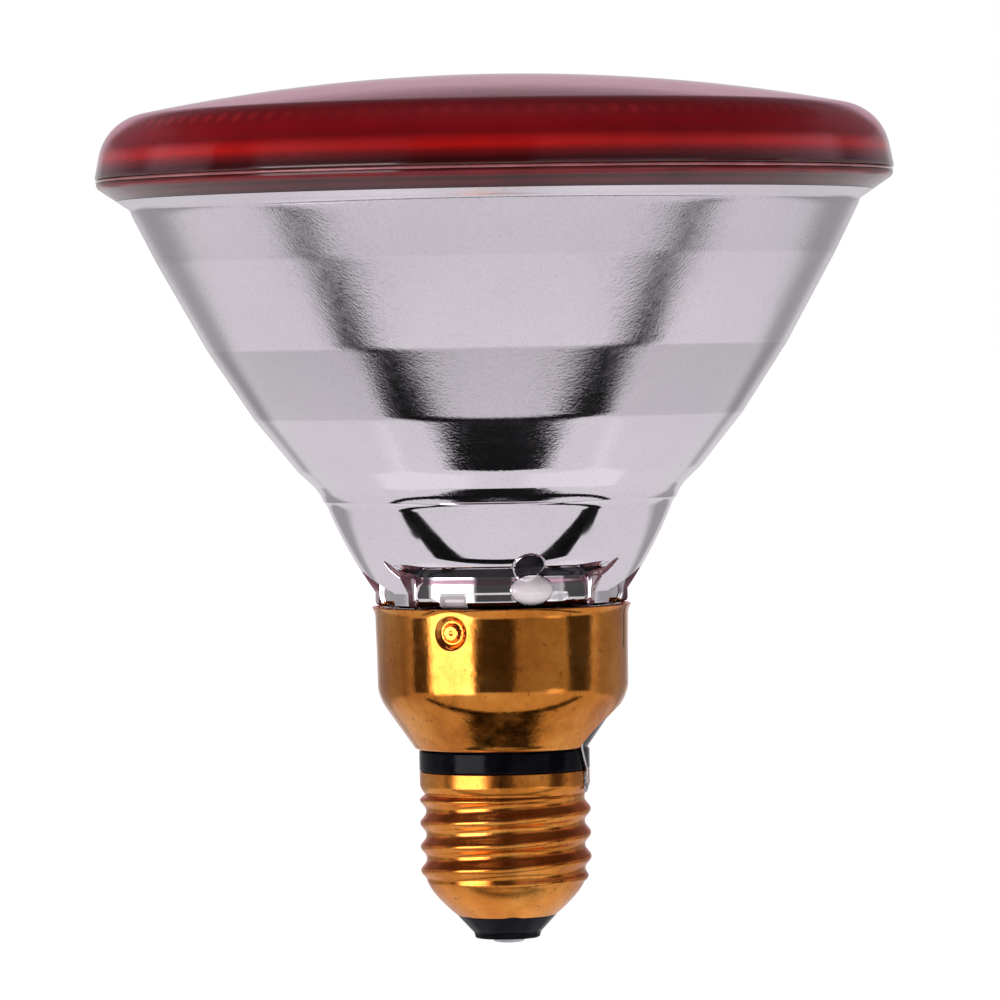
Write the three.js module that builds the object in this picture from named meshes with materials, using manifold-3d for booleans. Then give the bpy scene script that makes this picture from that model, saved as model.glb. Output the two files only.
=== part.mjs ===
// A PAR38 infra-red heat lamp on a skirted E27 screw cap, in millimetres.
// +Z runs along the lamp's axis, from the centre contact at z = 0 up to the lens.
// An azimuth is measured from the front (-Y) towards +X, in degrees.
import * as THREE from "three";
import { mergeVertices } from "three/addons/utils/BufferGeometryUtils.js";
import Module from "manifold-3d";

const wasm = await Module();
wasm.setup();

// ---- Driving dimensions ----

const LENS_RADIUS = 61;
const OVERALL_LENGTH = 132.6;
const SCREW_MAJOR_RADIUS = 13.08;
const SCREW_MINOR_RADIUS = 12.15;
const SCREW_PITCH = 3.629;
const CAP_RIM_HEIGHT = 26.4;
const SKIRT_RADIUS = 19.2;
const SKIRT_RIM_HEIGHT = 51.6;
const SHEET_METAL = 0.35;
const FIT_GAP = 0.3;

// Lens: a shallow dome over a drafted side wall.
const DOME_RADIUS = 280;
const LENS_CORNER_RADIUS = 8;
const LENS_DRAFT = 0.197;
const LENS_WALL = 4;
const SEAM_HEIGHT = 117.2;
const SEAM_HALF_THICKNESS = 0.25;
const SEAL_INNER_RADIUS = 56;
const SEAL_CHAMFER = 0.2;

// Reflector bowl: parabolas r^2 = scale * (z - vertex), the inner one cut into flat-sided bands.
const OUTER_PARABOLA = { scale: 53.7, vertex: 54 };
const INNER_PARABOLA = { scale: 49.3, vertex: 56.9 };
const BOWL_TOP = 111.9;
const BOWL_BOTTOM = 67.4;
const BAND_EDGES = [67.6, 72.6, 80.8, 91.2, 104.2, 112.4];
const MIRROR_THICKNESS = 0.25;
const FLANGE_ROOT = [56.3, 112.9];
const FLANGE_EDGE = [60.4, 115.9];

// Neck and heel of the bowl, which the skirt grips.
const NECK_BOTTOM_RADIUS = 19.3;
const HEEL_RADIUS = 18.3;
const HEEL_SHOULDER = 52.3;
const HEEL_BOTTOM = 43.6;
const FLOOR_TOP = 52;
const FLOOR_BOTTOM = 47.5;
const LUG_AZIMUTHS = [50, 90, 130, 230, 270, 310];
const LUG_WIDTH = 3.6;
const POCKET_EDGE = [22.4, 58.6];
const POCKET_CEILING = [19.2, 56.6];
const POCKET_CORNER = 56;
const PIP_AZIMUTH = 15;
const PIP_RADIUS = 2.9;
const PIP_FLATNESS = 0.45;
const PIP_HEIGHT = 54.6;

// Floor of the bowl: two nipples for the lead posts, and the sealed-off exhaust tube.
const NIPPLE_RADIUS = 3.4;
const NIPPLE_BOTTOM = 45.3;
const POST_HOLE_RADIUS = 2.4;
const EXHAUST_RADIUS = 2.6;
const EXHAUST_BORE = 1.5;
const EXHAUST_TIP = 38.8;

// Skirt features.
const CRIMP_AZIMUTHS = [-24, 156];
const CRIMP_HEIGHT = 48.2;
const CRIMP_RADIUS = 2.9;
const CRIMP_DEPTH = 0.8;
const SKIRT_LIP = 0.6;
const WINDOW_AZIMUTH = 85;
const WINDOW_WIDTH = 13;
const WINDOW_TOP = 36.6;
const SLIT_AZIMUTH = 74;
const SLIT_WIDTH = 0.4;
const SLIT_BOTTOM = 45.2;

// Mount of the filament.
const POST_AZIMUTH = 70;
const POST_SPREAD = 7.5;
const POST_RADIUS = 0.6;
const FERRULE_RADIUS = 4.05;
const FERRULE_BOTTOM = 42.6;
const FERRULE_TOP = 47.1;
const FERRULE_WALL = 0.3;
const FERRULE_FLOOR = 0.4;
const POST_KINK = 60.5;
const TAIL_REACH = 1.3;
const FILAMENT_HEIGHT = 69.2;
const FILAMENT_HALF_LENGTH = 9.4;
const COIL_RADIUS = 0.95;
const COIL_WIRE_RADIUS = 0.17;
const COIL_TURNS = 12;
const CLAMP_SIZE = 1.5;
const CLAMP_LENGTH = 1.9;
const CLAMP_STRIP = 0.35;
const BEAD_HEIGHT = 57.5;
const BEAD_RADIUS = 1.9;
const BEAD_OVERHANG = 2;
const SUPPORT_RADIUS = 0.25;

// Screw cap.
const THREAD_TOP = 23.3;
const THREAD_BOTTOM = 9;
const THREAD_CREST = 22.1;
const SHELL_FOOT_RADIUS = 8.4;
const SHELL_FOOT = 4.6;
const RING_BORE = 6;
const RING_RADIUS = 13.05;
const RING_TOP = 29.4;
const WIRE_GROOVE_RADIUS = 0.75;
const SIDE_WIRE_RADIUS = 0.2;
const CENTRE_WIRE_RADIUS = 0.3;
const SOLDER_AZIMUTH = 69.5;
const SOLDER_HEIGHT = 24.3;
const SOLDER_SIZE = [0.75, 0.42, 1.6];
const SLEEVE_BOTTOM = 13.5;
const SLEEVE_TOP = 23.5;
const SLEEVE_RADIUS = 2;
const SLEEVE_BORE = 0.7;

const LARGE_ROUND = 36;
const CAP_ROUND = 28;
const SMALL_ROUND = 12;

// ---- Materials ----

const material = (color, roughness, metalness, opacity = 1) =>
  new THREE.MeshStandardMaterial({ color, roughness, metalness, opacity, transparent: opacity < 1 });

const RUBY_GLASS = material(0x8e0a10, 0.06, 0, 0.8);
const CLEAR_GLASS = material(0xdcdce4, 0.04, 0, 0.4);
const ALUMINIUM_FILM = material(0xc9c4cc, 0.25, 1);
const BRASS = material(0xb0702c, 0.3, 1);
const BLACK_GLASS = material(0x0c0c0e, 0.15, 0);
const SOLDER = material(0xb8b8ba, 0.35, 1);
const NICKEL = material(0x9c9892, 0.35, 1);
const TUNGSTEN = material(0x5a5a60, 0.5, 1);

// ---- Geometry helpers ----

const radians = THREE.MathUtils.degToRad;
const point = (r, z) => new THREE.Vector2(r, z);
const place = (azimuth, r, z) =>
  new THREE.Vector3(r * Math.sin(radians(azimuth)), -r * Math.cos(radians(azimuth)), z);

// Points on a circle in the (r, z) half-plane, angles in degrees from +r towards +z.
function arc(r, z, radius, from, to, steps) {
  const made = [];
  for (let i = 0; i <= steps; i++) {
    const a = radians(from + ((to - from) * i) / steps);
    made.push(point(r + radius * Math.cos(a), z + radius * Math.sin(a)));
  }
  return made;
}

// Points on a quadratic curve between two ends, pulled towards a middle point.
const bow = (start, middle, end, steps) =>
  new THREE.QuadraticBezierCurve(point(...start), point(...middle), point(...end)).getPoints(steps);

// A profile turned about the Z axis. A profile runs with the material on its left.
function turned(profile, segments, closed = false) {
  const outline = closed ? [...profile, profile[0].clone()] : profile;
  return new THREE.LatheGeometry(outline, segments).rotateX(Math.PI / 2);
}

// Moves each vertex of a turned wall in or out by what push(azimuth, z) says.
function pushed(geometry, push) {
  const places = geometry.getAttribute("position");
  for (let i = 0; i < places.count; i++) {
    const [x, y, z] = [places.getX(i), places.getY(i), places.getZ(i)];
    const azimuth = THREE.MathUtils.radToDeg(Math.atan2(x, -y));
    const r = Math.hypot(x, y);
    const scale = (r + push(azimuth, z)) / r;
    places.setXY(i, x * scale, y * scale);
  }
  return geometry;
}

// A round wire along a smooth curve through the given points.
function wire(points, radius, steps, sides = 8) {
  const ring = [];
  for (let i = 0; i < sides; i++) {
    const a = (2 * Math.PI * i) / sides;
    ring.push(point(radius * Math.cos(a), radius * Math.sin(a)));
  }
  const extrudePath = new THREE.CatmullRomCurve3(points, false, "centripetal");
  return new THREE.ExtrudeGeometry(new THREE.Shape(ring), { steps, bevelEnabled: false, extrudePath });
}

const rod = (radius, bottom, top, segments = SMALL_ROUND) =>
  new THREE.CylinderGeometry(radius, radius, top - bottom, segments)
    .rotateX(Math.PI / 2)
    .translate(0, 0, (bottom + top) / 2);

const block = (width, depth, height) => new THREE.BoxGeometry(width, depth, height);

// Turns a shape built at the front (-Y) side to its azimuth.
const faced = (geometry, azimuth) => geometry.rotateZ(radians(azimuth));

function solid(geometry) {
  const bare = geometry.clone();
  bare.deleteAttribute("normal");
  bare.deleteAttribute("uv");
  const merged = mergeVertices(bare, 1e-4);
  return new wasm.Manifold(
    new wasm.Mesh({
      numProp: 3,
      vertProperties: merged.getAttribute("position").array,
      triVerts: new Uint32Array(merged.index.array),
    }),
  );
}

function skin(body) {
  const mesh = body.getMesh();
  const geometry = new THREE.BufferGeometry();
  geometry.setAttribute("position", new THREE.BufferAttribute(mesh.vertProperties, 3));
  geometry.setIndex(new THREE.BufferAttribute(mesh.triVerts, 1));
  geometry.computeVertexNormals();
  return geometry;
}

function cut(geometry, ...tools) {
  return skin(tools.reduce((body, tool) => body.subtract(solid(tool)), solid(geometry)));
}

function joined(...geometries) {
  return skin(geometries.map(solid).reduce((a, b) => a.add(b)));
}

// ---- Envelope ----

// Where the side wall's corner arc sits, touching the drafted wall and the dome inside.
function lensOutline(inset, bottom) {
  const dome = DOME_RADIUS - inset;
  const domeCentre = OVERALL_LENGTH - DOME_RADIUS;
  const corner = LENS_CORNER_RADIUS - inset;
  const out = point(Math.cos(LENS_DRAFT), Math.sin(LENS_DRAFT));
  const foot = point(LENS_RADIUS - inset * 1.1, bottom);
  const start = foot.clone().addScaledVector(out, -corner);
  const up = point(-out.y, out.x);
  const toCentre = start.clone().sub(point(0, domeCentre));
  const b = toCentre.dot(up);
  const reach = Math.sqrt(b * b - toCentre.lengthSq() + (dome - corner) ** 2) - b;
  const centre = start.clone().addScaledVector(up, reach);
  const tilt = THREE.MathUtils.radToDeg(LENS_DRAFT);
  const domeAngle = THREE.MathUtils.radToDeg(Math.atan2(centre.y - domeCentre, centre.x));
  return [
    foot,
    ...arc(centre.x, centre.y, corner, tilt, domeAngle, 4),
    ...arc(0, domeCentre, dome, domeAngle, 90, 4).slice(1),
  ];
}

function lens() {
  const bottom = SEAM_HEIGHT + SEAM_HALF_THICKNESS + FIT_GAP;
  const outside = lensOutline(0, bottom);
  const inside = lensOutline(LENS_WALL, bottom).reverse();
  return turned([...inside, ...outside], LARGE_ROUND);
}

function rimSeal() {
  const low = SEAM_HEIGHT - SEAM_HALF_THICKNESS;
  const high = SEAM_HEIGHT + SEAM_HALF_THICKNESS;
  const inner = SEAL_INNER_RADIUS + FIT_GAP;
  const edge = LENS_RADIUS - SEAL_CHAMFER;
  const rim = [point(inner, low), point(edge, low), point(LENS_RADIUS, SEAM_HEIGHT)];
  return turned([...rim, point(edge, high), point(inner, high)], LARGE_ROUND, true);
}

const onParabola = ({ scale, vertex }, z) => point(Math.sqrt(scale * (z - vertex)), z);

function bowlOutside() {
  const made = [];
  const steps = 6;
  for (let i = 0; i <= steps; i++) {
    made.push(onParabola(OUTER_PARABOLA, BOWL_BOTTOM + ((BOWL_TOP - BOWL_BOTTOM) * i) / steps));
  }
  return made;
}

// The mirror side of the bowl from the floor's edge up to the flange, pulled in by inset.
function bowlInside(inset) {
  const neck = bow([13.5, FLOOR_TOP], [19.6, 58.5], [22.7, 66.4], 3);
  const bands = BAND_EDGES.map((z) => onParabola(INNER_PARABOLA, z));
  return [...neck, ...bands].map((p) => {
    const lean = Math.atan2(INNER_PARABOLA.scale, 2 * p.x);
    return point(p.x - inset * Math.cos(lean), p.y + inset * Math.sin(lean));
  });
}

// The ring of pockets under the bowl, less the lugs that stand between them.
function neckPockets() {
  const low = HEEL_SHOULDER - 0.4;
  const clear = POCKET_EDGE[0] + 2.6;
  const section = [
    point(HEEL_RADIUS, low),
    point(clear, low),
    point(clear, POCKET_EDGE[1] - 0.8),
    point(...POCKET_EDGE),
    point(...POCKET_CEILING),
    point(HEEL_RADIUS, POCKET_CORNER),
  ];
  const ring = turned(section, LARGE_ROUND, true);
  const lugs = LUG_AZIMUTHS.map((a) =>
    faced(block(LUG_WIDTH, 12, 12).translate(0, -POCKET_EDGE[0], POCKET_CORNER), a),
  );
  return cut(ring, ...lugs);
}

// A nipple of glass under the floor, around the hole that a lead post passes.
const nipple = (azimuth) => {
  const at = place(azimuth, POST_SPREAD, 0);
  return rod(NIPPLE_RADIUS, NIPPLE_BOTTOM, FLOOR_BOTTOM + 1).translate(at.x, at.y, 0);
};

function reflectorGlass() {
  const flangeTop = SEAM_HEIGHT - SEAM_HALF_THICKNESS - FIT_GAP;
  const neck = bow([NECK_BOTTOM_RADIUS, 54], [23.6, 60.25], [26.2, 66.7], 4);
  const heel = [
    point(15.4, FLOOR_BOTTOM),
    point(15.4, HEEL_BOTTOM),
    point(HEEL_RADIUS, HEEL_BOTTOM),
    point(HEEL_RADIUS, HEEL_SHOULDER),
    point(NECK_BOTTOM_RADIUS, HEEL_SHOULDER),
  ];
  const flange = [
    point(...FLANGE_ROOT),
    point(...FLANGE_EDGE),
    point(LENS_RADIUS - 0.3, flangeTop),
    point(SEAL_INNER_RADIUS, flangeTop),
  ];
  const body = turned(
    [
      point(0, FLOOR_BOTTOM),
      ...heel,
      ...neck,
      ...bowlOutside(),
      ...flange,
      ...bowlInside(0).reverse(),
      point(0, FLOOR_TOP),
    ],
    LARGE_ROUND,
  );
  const pip = new THREE.SphereGeometry(PIP_RADIUS, 12, 8)
    .scale(1, PIP_FLATNESS, 1)
    .translate(0, -HEEL_RADIUS, PIP_HEIGHT);
  const holes = [0, 180].map((side) => {
    const at = place(POST_AZIMUTH + side, POST_SPREAD, 0);
    return rod(POST_HOLE_RADIUS, HEEL_BOTTOM - 3, FLOOR_TOP + 3).translate(at.x, at.y, 0);
  });
  const pocketed = cut(body, neckPockets());
  const bossed = joined(
    pocketed,
    nipple(POST_AZIMUTH),
    nipple(POST_AZIMUTH + 180),
    faced(pip, PIP_AZIMUTH),
  );
  const dents = CRIMP_AZIMUTHS.map((azimuth) => {
    const dent = rod(CRIMP_RADIUS + 0.5, HEEL_RADIUS - CRIMP_DEPTH - 0.1, 20).rotateX(Math.PI / 2);
    return faced(dent.translate(0, 0, CRIMP_HEIGHT), azimuth);
  });
  const exhaust = rod(EXHAUST_BORE, HEEL_BOTTOM - 3, FLOOR_TOP + 3);
  return cut(bossed, ...holes, exhaust, ...dents);
}

function reflectorMirror() {
  const outside = bowlInside(FIT_GAP);
  const inside = bowlInside(FIT_GAP + MIRROR_THICKNESS).reverse();
  return turned([...outside, ...inside], LARGE_ROUND, true);
}

// The sealed-off exhaust tube under the floor, its bore open towards the lamp.
function exhaustTip() {
  const top = FLOOR_BOTTOM - FIT_GAP;
  const closed = EXHAUST_TIP + 2.2;
  const tip = bow([0, EXHAUST_TIP], [2.2, EXHAUST_TIP + 0.2], [EXHAUST_RADIUS, closed + 1.5], 4);
  const bore = bow([EXHAUST_BORE, closed + 2], [EXHAUST_BORE, closed + 0.2], [0, closed], 3);
  return turned([...tip, point(EXHAUST_RADIUS, top), point(EXHAUST_BORE, top), ...bore], SMALL_ROUND);
}

// ---- Filament mount ----

function ferrule(azimuth) {
  const cup = [
    point(0, FERRULE_BOTTOM),
    point(FERRULE_RADIUS, FERRULE_BOTTOM),
    point(FERRULE_RADIUS, FERRULE_TOP),
    point(FERRULE_RADIUS - FERRULE_WALL, FERRULE_TOP),
    point(FERRULE_RADIUS - FERRULE_WALL, FERRULE_BOTTOM + FERRULE_FLOOR),
    point(0, FERRULE_BOTTOM + FERRULE_FLOOR),
  ];
  const at = place(azimuth, POST_SPREAD, 0);
  return turned(cup, SMALL_ROUND).translate(at.x, at.y, 0);
}

// The braze that holds a lead post in its ferrule.
function braze(azimuth) {
  const low = FERRULE_BOTTOM + FERRULE_FLOOR + FIT_GAP;
  const bore = POST_RADIUS + FIT_GAP;
  const [foot, neck, height] = [2.6, 1.3, 1.3];
  const profile = [
    point(bore, low),
    point(foot, low),
    point(neck, low + height - 0.2),
    point(bore, low + height),
  ];
  const at = place(azimuth, POST_SPREAD, 0);
  return turned(profile, SMALL_ROUND, true).translate(at.x, at.y, 0);
}

function leadPost(azimuth) {
  const spread = FILAMENT_HALF_LENGTH + TAIL_REACH;
  const top = FILAMENT_HEIGHT - CLAMP_SIZE / 2 - FIT_GAP;
  const route = [
    place(azimuth, POST_SPREAD, FERRULE_BOTTOM + FERRULE_FLOOR + FIT_GAP),
    place(azimuth, POST_SPREAD, FLOOR_TOP),
    place(azimuth, POST_SPREAD, POST_KINK),
    place(azimuth, POST_SPREAD + 1, POST_KINK + 2.5),
    place(azimuth, spread - 0.5, POST_KINK + 5.5),
    place(azimuth, spread, top),
  ];
  return wire(route, POST_RADIUS, 18, 10);
}

// The folded clamp on top of a post, which grips the filament's tail.
function filamentClamp(azimuth) {
  const half = CLAMP_SIZE / 2;
  const inner = half - CLAMP_STRIP;
  const fold = [
    point(-half, -half),
    point(-inner, -half),
    point(-inner, inner),
    point(inner, inner),
    point(inner, -half),
    point(half, -half),
    point(half, half),
    point(-half, half),
  ];
  const along = { depth: CLAMP_LENGTH, bevelEnabled: false };
  const strip = new THREE.ExtrudeGeometry(new THREE.Shape(fold), along);
  strip.rotateX(Math.PI / 2).translate(0, CLAMP_LENGTH / 2, 0);
  const at = place(azimuth, FILAMENT_HALF_LENGTH + TAIL_REACH, FILAMENT_HEIGHT);
  return faced(strip, azimuth).translate(at.x, at.y, at.z);
}

function filament() {
  const turns = [];
  const stepsPerTurn = 7;
  const tail = FILAMENT_HALF_LENGTH;
  const coil = tail - 1;
  turns.push(new THREE.Vector3(-tail, 0, 0));
  for (let i = 0; i <= COIL_TURNS * stepsPerTurn; i++) {
    const share = i / (COIL_TURNS * stepsPerTurn);
    const a = (2 * Math.PI * i) / stepsPerTurn;
    const rise = 0.8 * Math.sin(Math.PI * share);
    const x = -coil + 2 * coil * share;
    turns.push(new THREE.Vector3(x, COIL_RADIUS * Math.sin(a), rise + COIL_RADIUS * Math.cos(a)));
  }
  turns.push(new THREE.Vector3(tail, 0, 0));
  return wire(turns, COIL_WIRE_RADIUS, COIL_TURNS * stepsPerTurn + 6, 5)
    .rotateZ(radians(POST_AZIMUTH - 90))
    .translate(0, 0, FILAMENT_HEIGHT);
}

// A glass bar across both posts, which carries the filament's middle support.
function bridgeBead() {
  const half = POST_SPREAD + BEAD_OVERHANG;
  const straight = half - 0.8 * BEAD_OVERHANG;
  const end = bow([0, half], [BEAD_RADIUS, half], [BEAD_RADIUS, straight], 3);
  const foot = bow([BEAD_RADIUS, -straight], [BEAD_RADIUS, -half], [0, -half], 3);
  const bar = turned([...foot.reverse(), ...end.reverse()], SMALL_ROUND).rotateX(Math.PI / 2);
  const bores = [POST_SPREAD, 0, -POST_SPREAD].map((y) =>
    rod((y ? POST_RADIUS : SUPPORT_RADIUS) + FIT_GAP, -4, 4).translate(0, y, 0),
  );
  return cut(bar, ...bores)
    .rotateZ(radians(POST_AZIMUTH))
    .translate(0, 0, BEAD_HEIGHT);
}

// The support wire, ending in a hook around the middle of the coil.
function supportWire() {
  const hook = COIL_RADIUS + COIL_WIRE_RADIUS + SUPPORT_RADIUS + FIT_GAP;
  const middle = FILAMENT_HEIGHT + 0.8;
  const route = [new THREE.Vector3(0, 0, BEAD_HEIGHT - 1.2), new THREE.Vector3(0, 0, 63)];
  for (let i = 0; i <= 10; i++) {
    const a = radians(-90 + 27 * i);
    route.push(new THREE.Vector3(0, hook * Math.cos(a), middle + hook * Math.sin(a)));
  }
  return wire(route, SUPPORT_RADIUS, 30, 6).rotateZ(radians(POST_AZIMUTH - 90));
}

// ---- Cap ----

// How far a crimp presses the skirt in at a place.
function crimpDepth(azimuth, z) {
  let depth = 0;
  for (const centre of CRIMP_AZIMUTHS) {
    const turn = THREE.MathUtils.euclideanModulo(azimuth - centre + 180, 360) - 180;
    const away = Math.hypot(radians(turn) * SKIRT_RADIUS, z - CRIMP_HEIGHT) / CRIMP_RADIUS;
    depth += away < 1 ? CRIMP_DEPTH * Math.cos((away * Math.PI) / 2) ** 2 : 0;
  }
  return depth;
}

function skirt() {
  const outside = [
    point(13.55, 29.9),
    point(16.1, 33.55),
    ...bow([18.45, 36.9], [19.1, 37.9], [19.15, 39.2], 3),
    point(SKIRT_RADIUS, CRIMP_HEIGHT - CRIMP_RADIUS),
    point(SKIRT_RADIUS, CRIMP_HEIGHT - 1.4),
    point(SKIRT_RADIUS, CRIMP_HEIGHT),
    point(SKIRT_RADIUS + 0.1, CRIMP_HEIGHT + 1.4),
    point(SKIRT_RADIUS + 0.15, SKIRT_RIM_HEIGHT - 1.2),
    point(SKIRT_RADIUS + SKIRT_LIP, SKIRT_RIM_HEIGHT),
  ];
  const inside = outside.map((p, i) => {
    const lean = i < 3 ? SHEET_METAL * 1.22 : SHEET_METAL;
    return point(p.x - lean, p.y);
  });
  const wall = turned([...outside, ...inside.reverse()], LARGE_ROUND, true);
  pushed(wall, (azimuth, z) => -crimpDepth(azimuth, z));
  const half = WINDOW_WIDTH / 2;
  const window = joined(
    rod(half, 8, 25, LARGE_ROUND / 2).rotateX(Math.PI / 2).translate(0, 0, WINDOW_TOP - half),
    block(WINDOW_WIDTH, 17, 6).translate(0, -16.5, WINDOW_TOP - half - 3),
  );
  const slit = block(SLIT_WIDTH, 4, 10).translate(0, -SKIRT_RADIUS, SLIT_BOTTOM + 5);
  return cut(wall, faced(window, WINDOW_AZIMUTH), faced(slit, SLIT_AZIMUTH));
}

// How far the rolled thread stands out from its root at a place, fading at both ends.
function threadHeight(azimuth, z) {
  const crest = THREAD_CREST + (SCREW_PITCH * (azimuth + 90)) / 360;
  const wave = (1 + Math.cos((2 * Math.PI * (z - crest)) / SCREW_PITCH)) / 2;
  const fade = (edge, far) => THREE.MathUtils.smoothstep((z - edge) / (far - edge), 0, 1);
  const ends = fade(THREAD_TOP, THREAD_TOP - 1.4) * fade(THREAD_BOTTOM, THREAD_BOTTOM + 1.6);
  return (SCREW_MAJOR_RADIUS - SCREW_MINOR_RADIUS) * wave * ends;
}

function screwShell() {
  const collar = SCREW_MAJOR_RADIUS - 0.06;
  const start = THREAD_BOTTOM + 0.4;
  const end = THREAD_TOP - 0.4;
  const heel = [11.3, start - 2];
  const foot = bow([SHELL_FOOT_RADIUS, SHELL_FOOT], heel, [SCREW_MINOR_RADIUS, start], 3);
  const rows = 22;
  const outside = [...foot];
  for (let i = 1; i <= rows; i++) {
    outside.push(point(SCREW_MINOR_RADIUS, start + ((end - start) * i) / rows));
  }
  outside.push(point(collar - 0.25, THREAD_TOP + 0.2), point(collar, THREAD_TOP + 1.1));
  outside.push(point(collar, CAP_RIM_HEIGHT));
  const inside = outside.map((p, i) => {
    const onFoot = i < 3;
    return point(p.x - SHEET_METAL * (onFoot ? 0.72 : 1), p.y + (onFoot ? SHEET_METAL * 0.72 : 0));
  });
  inside[inside.length - 1].y = CAP_RIM_HEIGHT;
  const wall = turned([...outside, ...inside.reverse()], CAP_ROUND, true);
  return pushed(wall, threadHeight);
}

// The black ring between the skirt and the screw shell, with its cone under the skirt.
function ringInsulator() {
  const plug = 12.3;
  const coneTop = WINDOW_TOP + 0.8;
  const profile = [
    point(RING_BORE, THREAD_TOP + 0.3),
    point(plug - 0.7, THREAD_TOP + 0.3),
    point(plug, THREAD_TOP + 1.1),
    point(plug, CAP_RIM_HEIGHT + FIT_GAP),
    point(RING_RADIUS, CAP_RIM_HEIGHT + FIT_GAP),
    point(RING_RADIUS, RING_TOP),
    point(RING_RADIUS - 0.35, RING_TOP + 0.4),
    point(16.7, coneTop - 1.9),
    point(17.4, coneTop),
    point(RING_BORE + 3, coneTop),
    point(RING_BORE, coneTop - 3.9),
  ];
  const groove = wireGroove();
  return cut(turned(profile, CAP_ROUND, true), groove);
}

// Where the side wire runs over the ring, from above the ring to the rim of the shell.
const SIDE_ROUTE = [
  [59.5, 15.4, 38.2],
  [59.5, 15.9, 36.6],
  [60, 15.3, 34.6],
  [60.5, 14.2, 32.6],
  [60.5, 13.55, 30.6],
  [62.5, 13.5, 29],
  [66, 13.5, 27.4],
  [68.5, 13.5, CAP_RIM_HEIGHT],
];

function wireGroove() {
  const steps = SIDE_ROUTE.slice(0, 6).map(([azimuth, r, z]) => place(azimuth, r, z));
  const above = place(SIDE_ROUTE[0][0], 15.4, 40);
  return wire([above, ...steps], WIRE_GROOVE_RADIUS, 14, 8);
}

function bottomInsulator() {
  const profile = [
    point(3.5, 0.75),
    point(4.7, 0.75),
    point(5.1, 1.1),
    point(5.3, 1.75),
    point(7.8, 4.25),
    point(7.8, 5),
    point(10.6, 8.3),
    point(1.6, 8.3),
    point(1.6, 1.3),
    point(3.5, 1.3),
  ];
  return turned(profile, CAP_ROUND, true);
}

function centreContact() {
  const profile = [
    point(0.85, 0.6),
    point(3.2, 0.6),
    point(3.2, 1),
    point(1.25, 1),
    point(1.25, 7),
    point(0.85, 7),
  ];
  return turned(profile, SMALL_ROUND, true);
}

function tipSolder() {
  const top = 0.3;
  return turned([point(0, 0), point(1.2, 0), point(2.1, 0.1), point(2.6, top), point(0, top)], SMALL_ROUND);
}

function sideSolder() {
  const blob = new THREE.SphereGeometry(1, 10, 8).scale(...SOLDER_SIZE);
  const at = place(SOLDER_AZIMUTH, SCREW_MAJOR_RADIUS + SOLDER_SIZE[1] + FIT_GAP, SOLDER_HEIGHT);
  return faced(blob, SOLDER_AZIMUTH).translate(at.x, at.y, at.z);
}

// ---- Wires inside the cap ----

function sideWire() {
  const ferruleFoot = place(POST_AZIMUTH, POST_SPREAD, FERRULE_BOTTOM - FIT_GAP);
  const inside = [
    ferruleFoot,
    place(POST_AZIMUTH, POST_SPREAD + 0.4, 41),
    place(66, 10.5, 39.4),
    place(61, 14, 39.2),
  ];
  const outside = SIDE_ROUTE.slice(1).map(([azimuth, r, z]) => place(azimuth, r, z));
  return wire([...inside, ...outside], SIDE_WIRE_RADIUS, 36, 8);
}

function centreWire() {
  const route = [
    place(POST_AZIMUTH + 180, POST_SPREAD, FERRULE_BOTTOM - FIT_GAP),
    place(POST_AZIMUTH + 180, POST_SPREAD - 0.3, 40.6),
    place(POST_AZIMUTH + 180, 4.5, 37),
    place(POST_AZIMUTH + 180, 1.2, 31),
    new THREE.Vector3(0, 0, 25.5),
    new THREE.Vector3(0, 0, 14),
    new THREE.Vector3(0, 0, 6),
    new THREE.Vector3(0, 0, 0.9),
  ];
  return wire(route, CENTRE_WIRE_RADIUS, 24, 8);
}

function fuseSleeve() {
  const edge = SLEEVE_RADIUS - 0.3;
  const profile = [
    point(SLEEVE_BORE, SLEEVE_BOTTOM),
    point(edge, SLEEVE_BOTTOM),
    point(SLEEVE_RADIUS, SLEEVE_BOTTOM + 0.7),
    point(SLEEVE_RADIUS, SLEEVE_TOP - 0.7),
    point(edge, SLEEVE_TOP),
    point(SLEEVE_BORE, SLEEVE_TOP),
  ];
  return turned(profile, SMALL_ROUND, true);
}

// ---- Assembly ----

const lamp = new THREE.Group();

function add(name, geometry, finish) {
  const mesh = new THREE.Mesh(geometry, finish);
  mesh.name = name;
  lamp.add(mesh);
}

add("lens", lens(), RUBY_GLASS);
add("rim_seal", rimSeal(), CLEAR_GLASS);
add("reflector_glass", reflectorGlass(), CLEAR_GLASS);
add("reflector_mirror", reflectorMirror(), ALUMINIUM_FILM);
add("exhaust_tip", exhaustTip(), CLEAR_GLASS);
for (const [side, azimuth] of [
  ["side", POST_AZIMUTH],
  ["centre", POST_AZIMUTH + 180],
]) {
  add(`ferrule_${side}`, ferrule(azimuth), NICKEL);
  add(`ferrule_braze_${side}`, braze(azimuth), BRASS);
  add(`lead_post_${side}`, leadPost(azimuth), NICKEL);
  add(`filament_clamp_${side}`, filamentClamp(azimuth), NICKEL);
}
add("filament", filament(), TUNGSTEN);
add("bridge_bead", bridgeBead(), CLEAR_GLASS);
add("support_wire", supportWire(), TUNGSTEN);
add("skirt", skirt(), BRASS);
add("ring_insulator", ringInsulator(), BLACK_GLASS);
add("screw_shell", screwShell(), BRASS);
add("bottom_insulator", bottomInsulator(), BLACK_GLASS);
add("centre_contact", centreContact(), BRASS);
add("tip_solder", tipSolder(), SOLDER);
add("side_solder", sideSolder(), SOLDER);
add("side_wire", sideWire(), NICKEL);
add("centre_wire", centreWire(), NICKEL);
add("fuse_sleeve", fuseSleeve(), CLEAR_GLASS);

export default lamp;
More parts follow.
